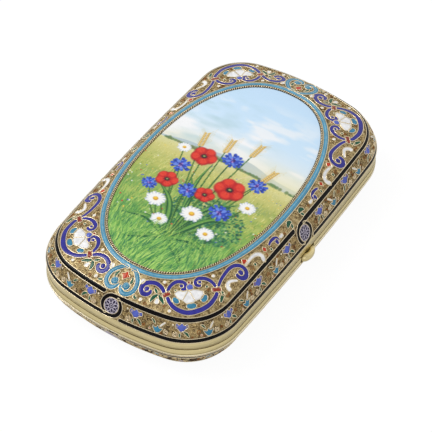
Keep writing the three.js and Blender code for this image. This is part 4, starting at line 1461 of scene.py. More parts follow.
teal = cloud_belt * np.clip((0.47 - clouds) * 5, 0, 1)
teal = teal * np.interp(canvas_x, [-25, 0, 14], [0.8, 0.35, 0.0])
wash(in_sky * teal, (176, 208, 214))
far_hills = 7.6 + 1.3 * np.sin(canvas_x / 8.5 + 1.0) + 0.5 * np.sin(canvas_x / 3.1)
near_hills = 6.0 + 0.9 * np.sin(canvas_x / 6.0 + 2.6) + 0.35 * np.sin(canvas_x / 1.7)
for hills, strength, tone in [(far_hills, 0.75, (172, 192, 204)), (near_hills, 0.85, (146, 166, 128))]:
    wash(in_sky * np.clip((hills - canvas_y[:, None]) * 4, 0, 1) * strength, tone)
haze = np.interp(canvas_y, [HORIZON, 7, 15], [0.3, 0.7, 0.0])[:, None]
wash(in_sky * haze * np.interp(canvas_x, [-4, 20], [0.0, 1.0]), (234, 230, 184))
for x in np.arange(-24, 24, 0.55):
    tree = 0.35 + 0.5 * painter.random()
    if painter.random() < 0.75:
        tone = (92 + 30 * painter.random(), 122 + 20 * painter.random(), 84)
        dab(x, HORIZON + 0.5 * tree, 0.6, tree, 0, tone, 0.8)
in_field = canvas_y[:, None] < HORIZON
meadow = 0.5 * cloudy(11, 3.5) + 0.3 * cloudy(5, 2) + 0.2 * cloudy(2, 1)
wash(in_field * np.clip((meadow - 0.55) * 4, 0, 1) * 0.5, (222, 212, 120))
deep = np.interp(canvas_y, [-40, -28, -14, -4], [0.2, 0.9, 0.6, 0.1])[:, None]
deep = deep * np.interp(canvas_x, [-22, 2, 16], [0.3, 0.9, 1.0])
wash(in_field * np.clip((0.5 - meadow) * 5, 0, 1) * deep, (30, 98, 82))
path_middle = 9.0 + 6.5 * np.sin((canvas_y - HORIZON) / 8.0)
path_half = 0.35 + 0.055 * (HORIZON - canvas_y)
path_edge = path_half[:, None] - np.abs(canvas_x[None, :] - path_middle[:, None])
path_fade = np.clip((canvas_y[:, None] + 22) / 8, 0, 1) * 0.8
wash(in_field * np.clip(path_edge * 2, 0, 1) * path_fade, (232, 216, 170))
print("The sky and the meadow are washed in")

# %% [markdown]
# Grass gets longer, thicker and greener towards the lower edge, which gives the field its depth.
# The blades are sorted from far to near before they are painted, so near ones overlap far ones.

# %% Grass, blade by blade
GRASSES = [
    [(236, 226, 150), (214, 204, 112), (182, 176, 84), (244, 238, 176)],
    [(196, 200, 96), (158, 178, 76), (120, 150, 62), (222, 212, 124)],
    [(148, 194, 92), (104, 162, 76), (64, 126, 66), (182, 214, 108)],
    [(142, 198, 94), (92, 158, 78), (48, 116, 76), (186, 222, 116)],
]


def paint_blade(x, y, strength):
    depth = HORIZON - y
    length = (0.7 + 0.07 * depth) * painter.uniform(0.6, 1.3)
    lean = length * (0.3 * math.sin(x / 5 + y / 7) + painter.normal(0, 0.22))
    half = 0.06 + 0.0018 * depth
    shelf = min(3, max(0, int(depth / 11 + painter.normal(0, 0.45))))
    colour = np.array(GRASSES[shelf][painter.integers(4)]) + painter.normal(0, 6)
    steps = max(4, int(length / 0.18))
    for t in np.linspace(0, 1, steps):
        size = half * (1.15 - 0.75 * t)
        dab(x + lean * t * t, y + length * t, size, 1.6 * size, 0, colour, strength)


for y in np.sort(painter.uniform(-43, HORIZON - 0.3, 5000))[::-1]:
    paint_blade(painter.uniform(-24, 24), y, 0.7)
for _ in range(150):
    y = painter.uniform(-30, 2)
    spot = [(206, 56, 48), (248, 246, 240), (82, 98, 200), (246, 206, 90)][painter.integers(4)]
    size = 0.14 + 0.006 * (HORIZON - y)
    dab(painter.uniform(-23, 23), y, size, size, 0, spot, 0.9)
print("The grass stands")

# %% [markdown]
# Each flower is a short recipe of dabs and strokes turned round its heart: dark petals below,
# lighter ones above, and the heart last. All stems spring from one foot, so the flowers hold
# together as a bunch.

# %% Flowers
FOOT = (1.5, -30.0)


def around(x, y, reach, angle, tilt=1.0):
    """A point at an angle round (x, y); tilt flattens the circle, as in a flower seen aslant."""
    return x + reach * math.cos(angle), y + tilt * reach * math.sin(angle)


def paint_stem(x, y, bend=0.0):
    middle_spot = ((x + FOOT[0]) / 2 + bend, (y + FOOT[1]) / 2)
    brush([FOOT, middle_spot, (x, y)], [0.34, 0.26, 0.18], (44, 92, 46))
    lit = [(FOOT[0] - 0.1, FOOT[1]), (middle_spot[0] - 0.12, middle_spot[1]), (x, y)]
    brush(lit, [0.12, 0.1, 0.06], (140, 184, 88), 0.8)


def paint_leaf(start, middle_spot, end, half):
    brush([start, middle_spot, end], [0.1, half, 0.75 * half, 0.08], (34, 92, 56))
    shift = 0.22 * half
    lit = [(x - shift, y + shift) for x, y in (start, middle_spot, end)]
    brush(lit, [0.06, 0.55 * half, 0.4 * half, 0.05], (104, 160, 74), 0.75)
    brush([start, middle_spot, end], [0.05, 0.06, 0.04], (188, 210, 128), 0.8)


POPPY_LAYERS = [((138, 16, 22), 1.0), ((204, 34, 34), 0.88), ((232, 66, 48), 0.6)]
POPPY_VEINS = [(150, 18, 26), (246, 118, 92), (178, 26, 30)]
POPPY_TILT = 0.82


def paint_poppy(x, y, size, turn):
    for layer, (tone, scale) in enumerate(POPPY_LAYERS):
        for k in range(5):
            angle = turn + 2 * math.pi * k / 5
            petal_x, petal_y = around(x, y, size * (0.52 + 0.07 * layer), angle, POPPY_TILT)
            petal_y += 0.04 * size * layer
            dab(petal_x, petal_y, 0.5 * size * scale, 0.44 * size * scale, angle + 1.57, tone, 0.95)
    for k in range(40):
        angle = turn + 2 * math.pi * (k + painter.uniform(-0.3, 0.3)) / 40
        outer = size * painter.uniform(0.6, 0.95)
        vein = [around(x, y, reach, angle, POPPY_TILT) for reach in (0.3 * size, outer)]
        brush(vein, [0.06, 0.04], POPPY_VEINS[k % 3], 0.5)
    dab(x, y, 0.22 * size, 0.19 * size, 0, (46, 34, 40))
    dab(x, y + 0.03 * size, 0.1 * size, 0.08 * size, 0, (150, 168, 96))
    for k in range(16):
        angle = 2 * math.pi * k / 16
        seed_x, seed_y = x + 0.27 * size * math.cos(angle), y + 0.23 * size * math.sin(angle)
        dab(seed_x, seed_y, 0.08, 0.08, 0, (34, 24, 32))


FLORETS = [(13, [(34, 56, 150), (60, 96, 208)]), (9, [(52, 78, 190), (110, 142, 232)])]
FLORET_HEART = [(92, 52, 150), (60, 34, 112), (196, 150, 214)]


def paint_cornflower(x, y, size):
    for ring, (count, tones) in enumerate(FLORETS):
        for k in range(count):
            angle = 2 * math.pi * (k + 0.5 * ring) / count + painter.normal(0, 0.08)
            outer = size * (1.0 - 0.35 * ring) * painter.uniform(0.85, 1.05)
            tip = around(x, y, outer, angle, 0.85)
            floret = [around(x, y, 0.2 * outer, angle), tip]
            brush(floret, [0.05 * size, 0.13 * size, 0.17 * size], tones[k % 2], 0.95)
            for side in (-0.14, 0, 0.14):
                aside = angle + side
                notch = (x + 1.08 * outer * math.cos(aside), y + 0.92 * outer * math.sin(aside))
                brush([tip, notch], [0.07 * size, 0.03 * size], tones[1], 0.9)
    for k in range(14):
        angle, out = painter.uniform(0, ALL_ROUND), size * painter.uniform(0, 0.26)
        dab(*around(x, y, out, angle), 0.09 * size, 0.09 * size, 0, FLORET_HEART[k % 3], 0.9)


def paint_daisy(x, y, size):
    for layer, (tone, scale) in enumerate([((196, 206, 222), 1.0), ((250, 250, 248), 0.95)]):
        for k in range(15):
            angle = 2 * math.pi * (k + 0.4 * layer) / 15
            outer = size * scale * (0.94 + 0.08 * math.sin(3 * k))
            petal = [around(x, y, 0.2 * size, angle), around(x, y, outer, angle, 0.84)]
            brush(petal, [0.08 * size, 0.13 * size, 0.09 * size], tone, 0.95)
    dab(x, y, 0.27 * size, 0.24 * size, 0, (206, 140, 30))
    dab(x - 0.04 * size, y + 0.05 * size, 0.19 * size, 0.16 * size, 0, (248, 204, 70))


def paint_wheat(x, y, lean):
    paint_stem(x - 2.2 * lean, y - 5.5)
    for k in range(9):
        at_x, at_y = x - lean * (2.2 - 0.27 * k), y - 5.2 + 0.68 * k
        for side in (-1, 1):
            angle = math.pi / 2 - lean * 0.4 - side * 0.75
            seed_x, seed_y = at_x + side * 0.46, at_y + 0.17 * side
            far = (seed_x + 2.6 * math.cos(angle), seed_y + 3.4 * math.sin(angle))
            brush([(seed_x, seed_y), far], [0.07, 0.04], (214, 184, 104), 0.75)
            dab(seed_x, seed_y, 0.58, 0.3, angle, (188, 142, 62))
            dab(seed_x - 0.06, seed_y + 0.08, 0.42, 0.18, angle, (248, 222, 142))


for x, y, lean in [(-11.5, 12.5, -0.5), (5.2, 17.0, 0.25), (14.0, 10.0, 0.6), (-3.2, 14.2, -0.2)]:
    paint_wheat(x, y, lean)
FLOWER_SPOTS = {
    "cornflower": [
        (-10.8, -2.5, 2.9), (1.0, 7.2, 3.0), (12.4, 2.6, 2.7), (9.0, -12.5, 3.1), (-3.5, -10.2, 2.8),
        (-14.5, -13.5, 2.3),
    ],
    "daisy": [
        (-9.4, -17.8, 3.1), (2.6, -17.2, 3.3), (14.6, -6.4, 2.6), (-14.0, 4.2, 2.2), (10.0, -21.5, 2.7),
        (-4.2, -23.8, 2.6),
    ],
    "poppy": [(-7.0, 4.0, 4.2), (6.6, -3.4, 4.9), (-11.0, -9.6, 3.6), (1.6, -9.0, 3.2)],
}
LEAF_GREENS = [(24, 78, 66), (34, 96, 72), (52, 122, 80), (92, 156, 92), (148, 190, 118)]
BUSH_DABS = 900
for k in range(BUSH_DABS):
    angle, out = painter.uniform(0, 2 * math.pi), painter.uniform(0.0, 1.0) ** 0.6
    x, y = 7.0 + 12.5 * out * math.cos(angle), -17.0 + 8.5 * out * math.sin(angle)
    tone = LEAF_GREENS[min(4, int(5 * k / BUSH_DABS * painter.uniform(0.5, 1.1)))]
    size = painter.uniform(0.3, 0.62)
    dab(x, y, size, 0.6 * size, painter.uniform(0, math.pi), tone, 0.8)
for kind, spots in FLOWER_SPOTS.items():
    for x, y, _ in spots:
        paint_stem(x, y, 0.12 * (x - FOOT[0]))
for leaf_line in [
    ((1, -29), (-7, -25), (-15, -27), 1.1), ((1, -29), (8, -26), (16, -28), 1.1),
    ((0, -28), (-5, -17), (-13, -11), 0.9), ((2, -28), (8, -17), (15, -14), 0.9),
    ((1, -26), (-1, -13), (-6, -4), 0.8), ((2, -26), (5, -14), (12, -7), 0.8),
    ((1, -29), (-4, -31), (-10, -35), 1.0), ((2, -29), (7, -32), (11, -36), 1.0),
    ((0, -20), (-3, -6), (-3, 3), 0.7),
]:
    paint_leaf(*leaf_line)
for x, y, size in FLOWER_SPOTS["daisy"]:
    paint_daisy(x, y, size)
for x, y, size in FLOWER_SPOTS["cornflower"]:
    paint_cornflower(x, y, size)
for x, y, size in FLOWER_SPOTS["poppy"]:
    paint_poppy(x, y, size, 0.9 * x)
for y in np.sort(painter.uniform(-43, -26, 1100))[::-1]:
    paint_blade(painter.uniform(-20, 20), y, 0.85)
print("The flowers are painted")

# %% [markdown]
# The plaque itself is a shallow dome with a thin edge. A square grid is rounded into the oval, its
# edge is extruded downwards and closed with one face, and each vertex takes the colour that the
# canvas has at its place. So the paint travels with the mesh and needs no image file.

# %% The plaque's mesh
PLAQUE_COLUMNS = 216
PLAQUE_ROWS = 396
PLAQUE_LIFT = 0.05
PLAQUE_THICKNESS = 0.55


def plaque_point(column, row):
    """A square grid, rounded into the oval: its points then lie evenly, with no pole."""
    u, v = 2 * column / PLAQUE_COLUMNS - 1, 2 * row / PLAQUE_ROWS - 1
    x, y = u * math.sqrt(1 - v * v / 2), v * math.sqrt(1 - u * u / 2)
    reach = math.hypot(x, y)
    if reach > 0:
        bulk = abs(x / reach) ** OVAL_EXPONENT + abs(y / reach) ** OVAL_EXPONENT
        power = bulk ** (-1 / OVAL_EXPONENT)
        x, y = x * power, y * power
    share = reach * (1 - PICTURE_SHRINK / OVAL_HALF_WIDTH)
    z = Z_OVAL + PICTURE_RISE * (1 - share**2) + PLAQUE_LIFT
    return Vector((x * (OVAL_HALF_WIDTH - PICTURE_SHRINK), y * (OVAL_HALF_LENGTH - PICTURE_SHRINK), z))


plaque = bmesh.new()
bend_grid(plaque, PLAQUE_COLUMNS, PLAQUE_ROWS, plaque_point)
rim_edges = [edge for edge in plaque.edges if edge.is_boundary]
walls = bmesh.ops.extrude_edge_only(plaque, edges=rim_edges)["geom"]
low_verts = [item for item in walls if isinstance(item, bmesh.types.BMVert)]
bmesh.ops.translate(plaque, verts=low_verts, vec=(0, 0, -PLAQUE_THICKNESS * MM))
low_edges = [item for item in walls if isinstance(item, bmesh.types.BMEdge) and item.is_boundary]
bmesh.ops.contextual_create(plaque, geom=low_edges)

painted, painted_tree, painted_shader = new_material("painted_enamel", grey(0.8), 0.12)
painted_shader.inputs["Specular IOR Level"].default_value = 0.3
pigment = add_node(painted_tree, "ShaderNodeAttribute")
pigment.attribute_name = "paint"
painted_tree.links.new(pigment.outputs["Color"], painted_shader.inputs["Base Color"])
plaque_piece = make_piece(
    "lid_painted_plaque", plaque, painted, "lid", ["lid_oval_plaque"])


def lay_paint(piece):
    """Gives every vertex the colour of the canvas beneath it, as linear light."""
    count = len(piece.data.vertices)
    spots = np.empty(3 * count)
    piece.data.vertices.foreach_get("co", spots)
    spots = spots.reshape(count, 3) / MM
    column = np.clip((spots[:, 0] + CANVAS_HALF_X) * DOTS_PER_MM, 0, len(canvas_x) - 2)
    row = np.clip((CANVAS_HALF_Y - spots[:, 1]) * DOTS_PER_MM, 0, len(canvas_y) - 2)
    first, top = column.astype(int), row.astype(int)
    right_part, low_part = (column - first)[:, None], (row - top)[:, None]
    upper = canvas[top, first] * (1 - right_part) + canvas[top, first + 1] * right_part
    lower = canvas[top + 1, first] * (1 - right_part) + canvas[top + 1, first + 1] * right_part
    shown = np.clip((upper * (1 - low_part) + lower * low_part) / 255, 0, 1)
    linear = np.where(shown < 0.04045, shown / 12.92, ((shown + 0.055) / 1.055) ** 2.4)
    paint = piece.data.attributes.new("paint", "FLOAT_COLOR", "POINT")
    paint.data.foreach_set("color", np.concatenate([linear, np.ones((count, 1))], axis=1).ravel())


lay_paint(plaque_piece)

# %% [markdown]
# The hinge has five barrels on one pin. Each barrel and the pin are turned parts, so they are made
# as a lathe makes them: a profile, given as radius and place along the axis, is carried round it.

# %% Hinge
HINGE_X = (corner("hinge_pin", False).x + corner("hinge_pin", True).x) / 2
TURNED_SIDES = 40


def turned(profile, closed):
    """A body of revolution about the hinge's axis."""
    bm = bmesh.new()
    rows = len(profile) if closed else len(profile) - 1

    def spot(column, row):
        radius, y = profile[row % len(profile)]
        angle = 2 * math.pi * (column % TURNED_SIDES) / TURNED_SIDES
        return Vector((HINGE_X + radius * math.cos(angle), y, Z_SEAM + radius * math.sin(angle)))

    bend_grid(bm, TURNED_SIDES, rows, spot)
    return bm


BARREL_BORE = 0.8
BARREL_EASE = 0.15
GROOVE_PLACE = 0.7
GROOVE_HALF = 0.1
GROOVE_DEPTH = 0.07
for body, count in (("base", 3), ("lid", 2)):
    for k in range(1, count + 1):
        node = f"{body}_knuckle_{k}"
        start, end = corner(node, False).y, corner(node, True).y
        radius = (corner(node, True).z - corner(node, False).z) / 2
        eased = radius - BARREL_EASE
        profile = [(BARREL_BORE, start), (eased, start), (radius, start + BARREL_EASE)]
        for groove in (start + GROOVE_PLACE, end - GROOVE_PLACE):
            profile += [
                (radius, groove - GROOVE_HALF), (radius - GROOVE_DEPTH, groove),
                (radius, groove + GROOVE_HALF),
            ]
        profile += [(radius, end - BARREL_EASE), (eased, end), (BARREL_BORE, end)]
        make_piece(f"{body}_hinge_barrel_{k}", turned(profile, True), satin_gilt, body, [node])
pin_end = corner("hinge_pin", True).y
pin_half = [(0.5, pin_end - 0.15), (0.42, pin_end - 0.04), (0.25, pin_end), (0, pin_end)]
pin_profile = [(radius, -y) for radius, y in pin_half[::-1]] + pin_half
make_piece("hinge_rod", turned(pin_profile, False), bright_gilt, "base", ["hinge_pin"])

# %% [markdown]
# The thumb piece is a small half-moon of gilt silver with a domed edge, at the end of a flat stem
# that passes through the rim. Pressing it moves the latch behind the rim off its keeper, and a
# bowed steel spring pushes it back.

# %% Catch
thumb_low, thumb_high = corner("catch_thumbpiece", False), corner("catch_thumbpiece", True)
MOON_X = 31.6
MOON_STEPS = 28
BACK_STEPS = 8
MOON_ROWS = 14
SLIDE_HALF = 1.8
SLIDE_LOW = 7.35
SLIDE_HIGH = 8.75
SLIDE_END = 32.4
SLIDE_EASE = 0.12


def moon_point(column, row):
    """A half-moon in plan, with a profile that is rounded at its top and bottom edges."""
    t = math.pi * (row / MOON_ROWS - 0.5)
    size = abs(math.cos(t)) ** 0.45 if 0 < row < MOON_ROWS else 0
    z = (thumb_low.z + thumb_high.z) / 2
    z += (thumb_high.z - thumb_low.z) / 2 * math.copysign(abs(math.sin(t)) ** 0.7, t)
    column %= MOON_STEPS + BACK_STEPS
    if column <= MOON_STEPS:
        angle = math.pi * (column / MOON_STEPS - 0.5)
        x, y = (thumb_high.x - MOON_X) * math.cos(angle), thumb_high.y * math.sin(angle)
    else:
        x, y = 0, thumb_high.y * (1 - 2 * (column - MOON_STEPS) / BACK_STEPS)
    return Vector((MOON_X + x * size, y * size, z))


def soft_box(bm, low, high, ease):
    """A box with rounded edges."""
    edges = list({edge for vert in add_box(bm, low, high) for edge in vert.link_edges})
    bmesh.ops.bevel(
        bm, geom=edges, offset=ease * MM, segments=2, affect="EDGES", profile=0.5, material=-1)


thumb = bmesh.new()
bend_grid(thumb, MOON_STEPS + BACK_STEPS, MOON_ROWS, moon_point)
slide_low = (thumb_low.x, -SLIDE_HALF, SLIDE_LOW)
soft_box(thumb, slide_low, (SLIDE_END, SLIDE_HALF, SLIDE_HIGH), SLIDE_EASE)
make_piece("catch_thumb_bead", thumb, satin_gilt, "catch", ["catch_thumbpiece"])

LEAF_COLUMNS = 32
LEAF_THICKNESS = 0.25
LEAF_SECTION = [(-1, 0.5), (-0.9, 0), (0.9, 0), (1, 0.5), (0.9, 1), (-0.9, 1)]
spring_low, spring_high = corner("catch_spring", False), corner("catch_spring", True)
spring_bow = spring_high.x - spring_low.x - LEAF_THICKNESS


def leaf_point(column, row):
    """A bowed strip: its ends bear on the bracket, and its middle reaches for the latch."""
    across, deep = LEAF_SECTION[row % len(LEAF_SECTION)]
    t = 2 * column / LEAF_COLUMNS - 1
    x = spring_low.x + spring_bow * (1 - t * t) + LEAF_THICKNESS * deep
    z = (spring_low.z + spring_high.z) / 2 + across * (spring_high.z - spring_low.z) / 2
    return Vector((x, t * (spring_high.y - 0.05), z))


leaf = bmesh.new()
bend_grid(leaf, LEAF_COLUMNS, len(LEAF_SECTION), leaf_point)
bmesh.ops.remove_doubles(leaf, verts=leaf.verts, dist=WELD)
bmesh.ops.holes_fill(leaf, edges=leaf.edges, sides=8)
leaf_spring = make_piece("catch_leaf_spring", leaf, steel, "base", ["catch_spring"])
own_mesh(leaf_spring)

DRESSED = {
    "catch_latch": (steel, "spring_steel"),
    "catch_bracket": (satin_gilt, "gilt"),
    "lid_keeper": (steel, "spring_steel"),
}
for body in ("base", "lid"):
    for side in ("catch_side", "hinge_side"):
        DRESSED[f"{body}_clip_{side}"] = (satin_gilt, "gilt")
for node, (finish, slot) in DRESSED.items():
    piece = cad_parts[node]
    piece.data.materials.clear()
    piece.data.materials.append(finish)
print(len(DRESSED), "small fittings keep the shape of the packed model")

# %% [markdown]
# A woven elastic band crosses each tray to hold the cigarettes. Its weave is a row of ribs across
# the band, and its two edges are thicker cords, where the rubber threads turn back.

# %% Elastic bands
RIB_PITCH = 1.1
RIB_STEPS = 6
BAND_STEPS = 15
EDGE_CORD = 0.8
CORD_SHOULDER = 0.86


def add_band(name, node, body):
    low_spot, high_spot = corner(node, False), corner(node, True)
    length = high_spot.x - low_spot.x
    columns = RIB_STEPS * round(length / RIB_PITCH)
    across = [*np.linspace(-1, 1, BAND_STEPS)]
    section = [(a, 1) for a in across] + [(a, -1) for a in across[::-1]]
    half_y = (high_spot.y - low_spot.y) / 2
    half_z = (high_spot.z - low_spot.z) / 2

    def spot(column, row):
        a, face = section[row % len(section)]
        rib = 0.5 + 0.5 * math.cos(2 * math.pi * column / RIB_STEPS)
        cord = 1.0 if abs(a) > EDGE_CORD else 0.72 + 0.2 * rib
        thick = half_z * cord * (1 - max(0, abs(a) - CORD_SHOULDER) ** 2 * 30)
        x = low_spot.x + length * column / columns
        y = (low_spot.y + high_spot.y) / 2 + a * half_y
        return Vector((x, y, (low_spot.z + high_spot.z) / 2 + face * thick))

    bm = bmesh.new()
    bend_grid(bm, columns, len(section), spot)
    make_piece(name, bm, elastic, body, [node])


add_band("base_woven_band", "base_elastic_band", "base")
add_band("lid_woven_band", "lid_elastic_band", "lid")

# %% [markdown]
# The photograph doesn't show the back. Cases like this one carry the same work there, so the back
# repeats the scroll border and the turquoise ring, and its middle has a rosette among scrolls
# instead of a picture. All of it is guessed. The highest wires reach the table and no further.

# %% Back
BACK_STROKES = [
    ("ultramarine",
     [(3.4, 9.6), (7.4, 10.6), (10.9, 14.2), (11.6, 19.0), (9.4, 22.8), (5.8, 22.9), (4.4, 20.2),
      (6.0, 18.4)],
     1.4, (7.0, 19.8, 1.4)),
    ("ultramarine",
     [(11.0, 3.0), (14.8, 4.4), (17.6, 8.4), (18.2, 13.0), (16.4, 16.4), (14.0, 16.2), (13.4, 14.4)],
     1.4, (15.0, 13.6, 1.3)),
    ("turquoise",
     [(1.6, 26.4), (5.2, 26.8), (8.4, 29.4), (8.6, 33.6), (5.6, 36.0), (3.0, 34.6), (3.2, 32.6)],
     1.4, (4.6, 32.0, 1.3)),
    ("white", [(13.6, 20.2), (14.6, 23.4), (13.2, 26.6), (10.8, 27.4)], 1.1, (10.4, 26.0, 0.8)),
    ("green", [(1.4, 12.0), (2.6, 15.0), (1.8, 18.4)], 0.9, (1.6, 20.6, 0.7)),
    ("green", [(16.8, 1.6), (19.4, 3.2), (20.6, 6.4)], 0.9, (20.6, 8.4, 0.6)),
]


def draw_back_middle(ornament):
    for colour, points, width, eye in BACK_STROKES:
        ornament.stroke(colour, points, [(0, 0.6 * width), (0.5, width), (1, width)])
        ornament.dot(colour, *eye)
    ornament.drop("red", square_drop(13.2, 9.4, 1.2), sharp=True)
    ornament.dot("white", 11.8, 31.2, 0.6)
    ornament.dot("white", 19.4, 17.4, 0.6)


def draw_back_rosette(ornament):
    for k in range(PETALS):
        degrees = k * 360 / PETALS
        angle = math.radians(degrees)
        petal = oval_drop(*around(0, 0, 4.4, angle), 2.3, 1.35, degrees)
        ornament.drop("white" if k % 2 else "periwinkle", petal)
        ornament.dot("turquoise", *around(0, 0, 6.6, angle + math.pi / PETALS), 0.7)
    ornament.dot("red", 0, 0, 1.5)
    ornament.wire(round_line(0, 0, 8.4, 120), closed=True)


def back_spot(draw):
    angle, out = draw.uniform(0, math.pi / 2), math.sqrt(draw.uniform(0.08, 0.98))
    return 22.6 * out * math.cos(angle), 40.4 * out * math.sin(angle)


def back_walls():
    """Circles inside the turquoise ring, along the middles and round the rosette."""
    oval = [(*oval_point(walked, -1.4), 0.3) for walked in np.arange(0, QUARTER, WALL_STEP)]
    long_axis = [(0, y, AXIS_WALL) for y in np.arange(0, 44, WALL_STEP)]
    short_axis = [(x, 0, AXIS_WALL) for x in np.arange(0, 26, WALL_STEP)]
    return oval + long_axis + short_axis + [(0, 0, 8.6)]


back_border = Ornament(four_quarters(on_back))
draw_border(back_border)
pack_spirals(back_border, border_walls(), border_spot, 4000, seed=5)
back_border.finish("back_border", "base")
back_middle = Ornament(four_quarters(on_back))
draw_back_middle(back_middle)
pack_spirals(back_middle, back_walls(), back_spot, 6000, seed=11)
back_middle.finish("back_middle", "base")
back_rosette = Ornament([on_back])
draw_back_rosette(back_rosette)
back_rosette.finish("back_rosette", "base")

# %% [markdown]
# The back is flat, so its ground and its ring need no dome. Both are swept from level rings at a
# few heights above the table, and only the ring's middle bulges down a little.

# %% Ground and ring of the back
BACK_GROUND = BACK_SINK + GROUND_SINK
BACK_GROUND_DEPTH = 0.5
BACK_RING_TOP = 0.4
BACK_RING_EDGE = 0.1
BACK_RING_DOME = 0.03


def flat_oval(grow, z, scale=1.0):
    """A level ring on the back: the oval, grown by some millimetres or scaled."""
    return lambda walked: Vector((*(oval_point(walked, grow) * scale), z))


back_ground = bmesh.new()
sweep(back_ground, [
    middle(BACK_GROUND),
    *[flat_oval(0, BACK_GROUND, scale) for scale in (0.3, 0.6, 0.85, 1.0)],
    level_ring(SHOULDER_INSET + 0.5, BACK_GROUND),
    level_ring(SHOULDER_INSET + 0.5, BACK_GROUND + BACK_GROUND_DEPTH),
    middle(BACK_GROUND + BACK_GROUND_DEPTH),
], closed=False)
make_piece("back_ground", back_ground, top_stipple, "base", ["base_back_panel"])
back_ring = bmesh.new()
sweep(back_ring, [
    flat_oval(RING_OUT, BACK_RING_TOP), flat_oval(RING_OUT, BACK_RING_EDGE),
    flat_oval(0, BACK_RING_DOME),
    flat_oval(-RING_IN, BACK_RING_EDGE), flat_oval(-RING_IN, BACK_RING_TOP),
])
make_piece("back_turquoise_ring", back_ring, enamels["turquoise"], "base")
back_ring_wires = bmesh.new()
add_ring_wire(back_ring_wires, flat_oval(RING_OUT + 0.1, 0.14), 0.13)
add_ring_wire(back_ring_wires, flat_oval(-RING_IN - 0.1, 0.14), 0.13)
make_piece("back_ring_wires", back_ring_wires, bright_gilt, "base")

# %% [markdown]
# Painted shade darkens the seam, a fine groove above the base's moulding and the corner under it,
# and a painted highlight brightens the moulding. These are thin rings in the face of the base's
# rim, as (inset, height, radius), cut away at the hinge and at the thumb piece.

# %% Lines in the rims


def add_rim_rings(name, rings, finish):
    bm = bmesh.new()
    for inset, height, radius in rings:
        add_ring_wire(bm, level_ring(inset, height), radius, sides=6)
    piece = make_piece(name, bm, finish, "base")
    cut_away(piece, hinge_low, hinge_high)
    cut_away(piece, pocket_low, pocket_high)


add_rim_rings("base_rim_shade_lines", [(0.1, Z_SEAM - 0.14, 0.08), (0.03, Z_BASE_RIM + 0.82, 0.06)], painted_shade_gilt)
add_rim_rings("base_rim_shadow_line", [(0.1, Z_BASE_RIM - 0.1, 0.22)], painted_shadow_solder)
add_rim_rings("base_rim_bead_highlight", [(-0.04, Z_BASE_RIM + 0.42, 0.15)], painted_highlight_gilt)

# %% [markdown]
# The photograph was taken in a light tent: white all round, with a soft lamp from the upper left
# and a weaker one from the near right. The tent is the world's background. Its diffuse light is
# about halved, to leave room for the lamps. Mirror-like metal sees the tent's far wall at full
# strength, or the gilding would turn grey, but the near wall only as bright as the diffuse light.
# The wall belongs to the room and not to the camera, so it stays put in every view.

# %% The light tent
WORLD_LIGHT = 0.58
NEAR_WALL = -0.2
FAR_WALL = 0.75

world = bpy.data.worlds.new("studio")
bpy.context.scene.world = world
world.use_nodes = True
sky_tree = world.node_tree
path = add_node(sky_tree, "ShaderNodeLightPath")
direction = add_node(sky_tree, "ShaderNodeTexCoord").outputs["Generated"]
northward = add_node(sky_tree, "ShaderNodeSeparateXYZ", [("Vector", direction)]).outputs["Y"]
wall = add_node(sky_tree, "ShaderNodeMapRange", [("Value", northward)])
wall.inputs["From Min"].default_value = NEAR_WALL
wall.inputs["From Max"].default_value = FAR_WALL
mirrored_wall = calculate(
    sky_tree, "MULTIPLY", path.outputs["Is Glossy Ray"], wall.outputs["Result"])
seen = calculate(sky_tree, "MAXIMUM", path.outputs["Is Camera Ray"], mirrored_wall)
strength = add_node(sky_tree, "ShaderNodeMapRange", [("Value", seen)])
strength.inputs["To Min"].default_value = WORLD_LIGHT
strength.inputs["To Max"].default_value = 1.0
sky_tree.nodes["Background"].inputs["Color"].default_value = grey(1.0)
sky_tree.links.new(strength.outputs["Result"], sky_tree.nodes["Background"].inputs["Strength"])

print("The tent's diffuse light is", WORLD_LIGHT)

# %% [markdown]
# The floor is one large square whose material asks what kind of ray has met it. To the camera it
# glows white, with a tenth left to show a faint shadow of the case. Polished metal sees a part of
# that glow, and all other light meets a plain light grey. From below it is clear, as a glass
# table would be, so the back can be judged too. It is also clear to light that has come less
# than a millimetre.

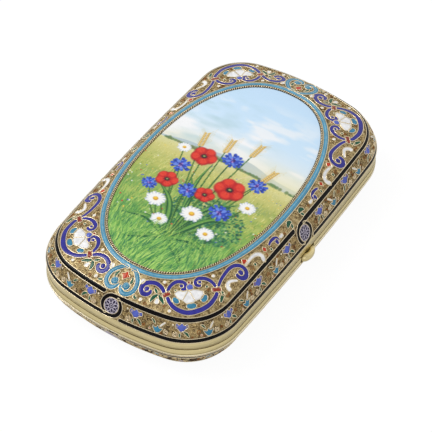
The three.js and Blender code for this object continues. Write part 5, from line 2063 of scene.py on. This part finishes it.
# %% Floor
FLOOR_GLOW = 0.9
MIRROR_GLOW = 0.4
GLASS_REACH = 1.0
floor_bmesh = bmesh.new()
bmesh.ops.create_grid(floor_bmesh, x_segments=1, y_segments=1, size=2.0)
floor = add_object("floor", settle(floor_bmesh, "floor"))
floor_material, floor_tree, floor_shader = new_material("floor", grey(0.95), 0.9)
floor_paths = add_node(floor_tree, "ShaderNodeLightPath").outputs
to_camera = floor_paths["Is Camera Ray"]
floor_tone = ramp(floor_tree, to_camera, [(0.0, grey(0.68)), (1.0, grey(0.95))])
mirrored = calculate(floor_tree, "MULTIPLY", floor_paths["Is Glossy Ray"], MIRROR_GLOW)
shown_as = calculate(floor_tree, "MAXIMUM", to_camera, mirrored)
floor_glow = ramp(floor_tree, shown_as, [(0.0, grey(0.0)), (1.0, grey(FLOOR_GLOW))])
floor_tree.links.new(floor_tone, floor_shader.inputs["Base Color"])
floor_shader.inputs["Specular IOR Level"].default_value = 0.0
glow = add_node(floor_tree, "ShaderNodeEmission", Color=grey(1.0), Strength=1.04)
floor_mix = add_node(floor_tree, "ShaderNodeMixShader", [
    (0, floor_glow), (1, floor_shader.outputs["BSDF"]), (2, glow.outputs["Emission"])])
nearby = calculate(floor_tree, "LESS_THAN", floor_paths["Ray Length"], GLASS_REACH * MM)
from_below = add_node(floor_tree, "ShaderNodeNewGeometry").outputs["Backfacing"]
passes = calculate(floor_tree, "MAXIMUM", nearby, from_below)
clear = add_node(floor_tree, "ShaderNodeBsdfTransparent")
floor_surface = add_node(floor_tree, "ShaderNodeMixShader", [
    (0, passes), (1, floor_mix.outputs["Shader"]), (2, clear.outputs["BSDF"])])
floor_end = floor_tree.nodes["Material Output"].inputs["Surface"]
floor_tree.links.new(floor_surface.outputs["Shader"], floor_end)
floor.data.materials.append(floor_material)

# %% [markdown]
# Two area lamps do the rest. Both are larger than the case, because a shadow's edge grows softer
# with the size of its lamp. Each is turned so that its face looks at the case.

# %% Lamps


def add_light(name, place, size, power):
    data = bpy.data.lights.new(name, "AREA")
    data.size = size
    data.energy = power
    light = add_object(name, data)
    light.location = place
    light.rotation_euler = (-Vector(place)).to_track_quat("-Z", "Y").to_euler()


add_light("key", (-0.6, -0.2, 0.8), 0.5, 4.5)
add_light("fill", (0.7, -0.8, 0.5), 0.8, 1.8)
bpy.context.scene.view_settings.view_transform = "Standard"
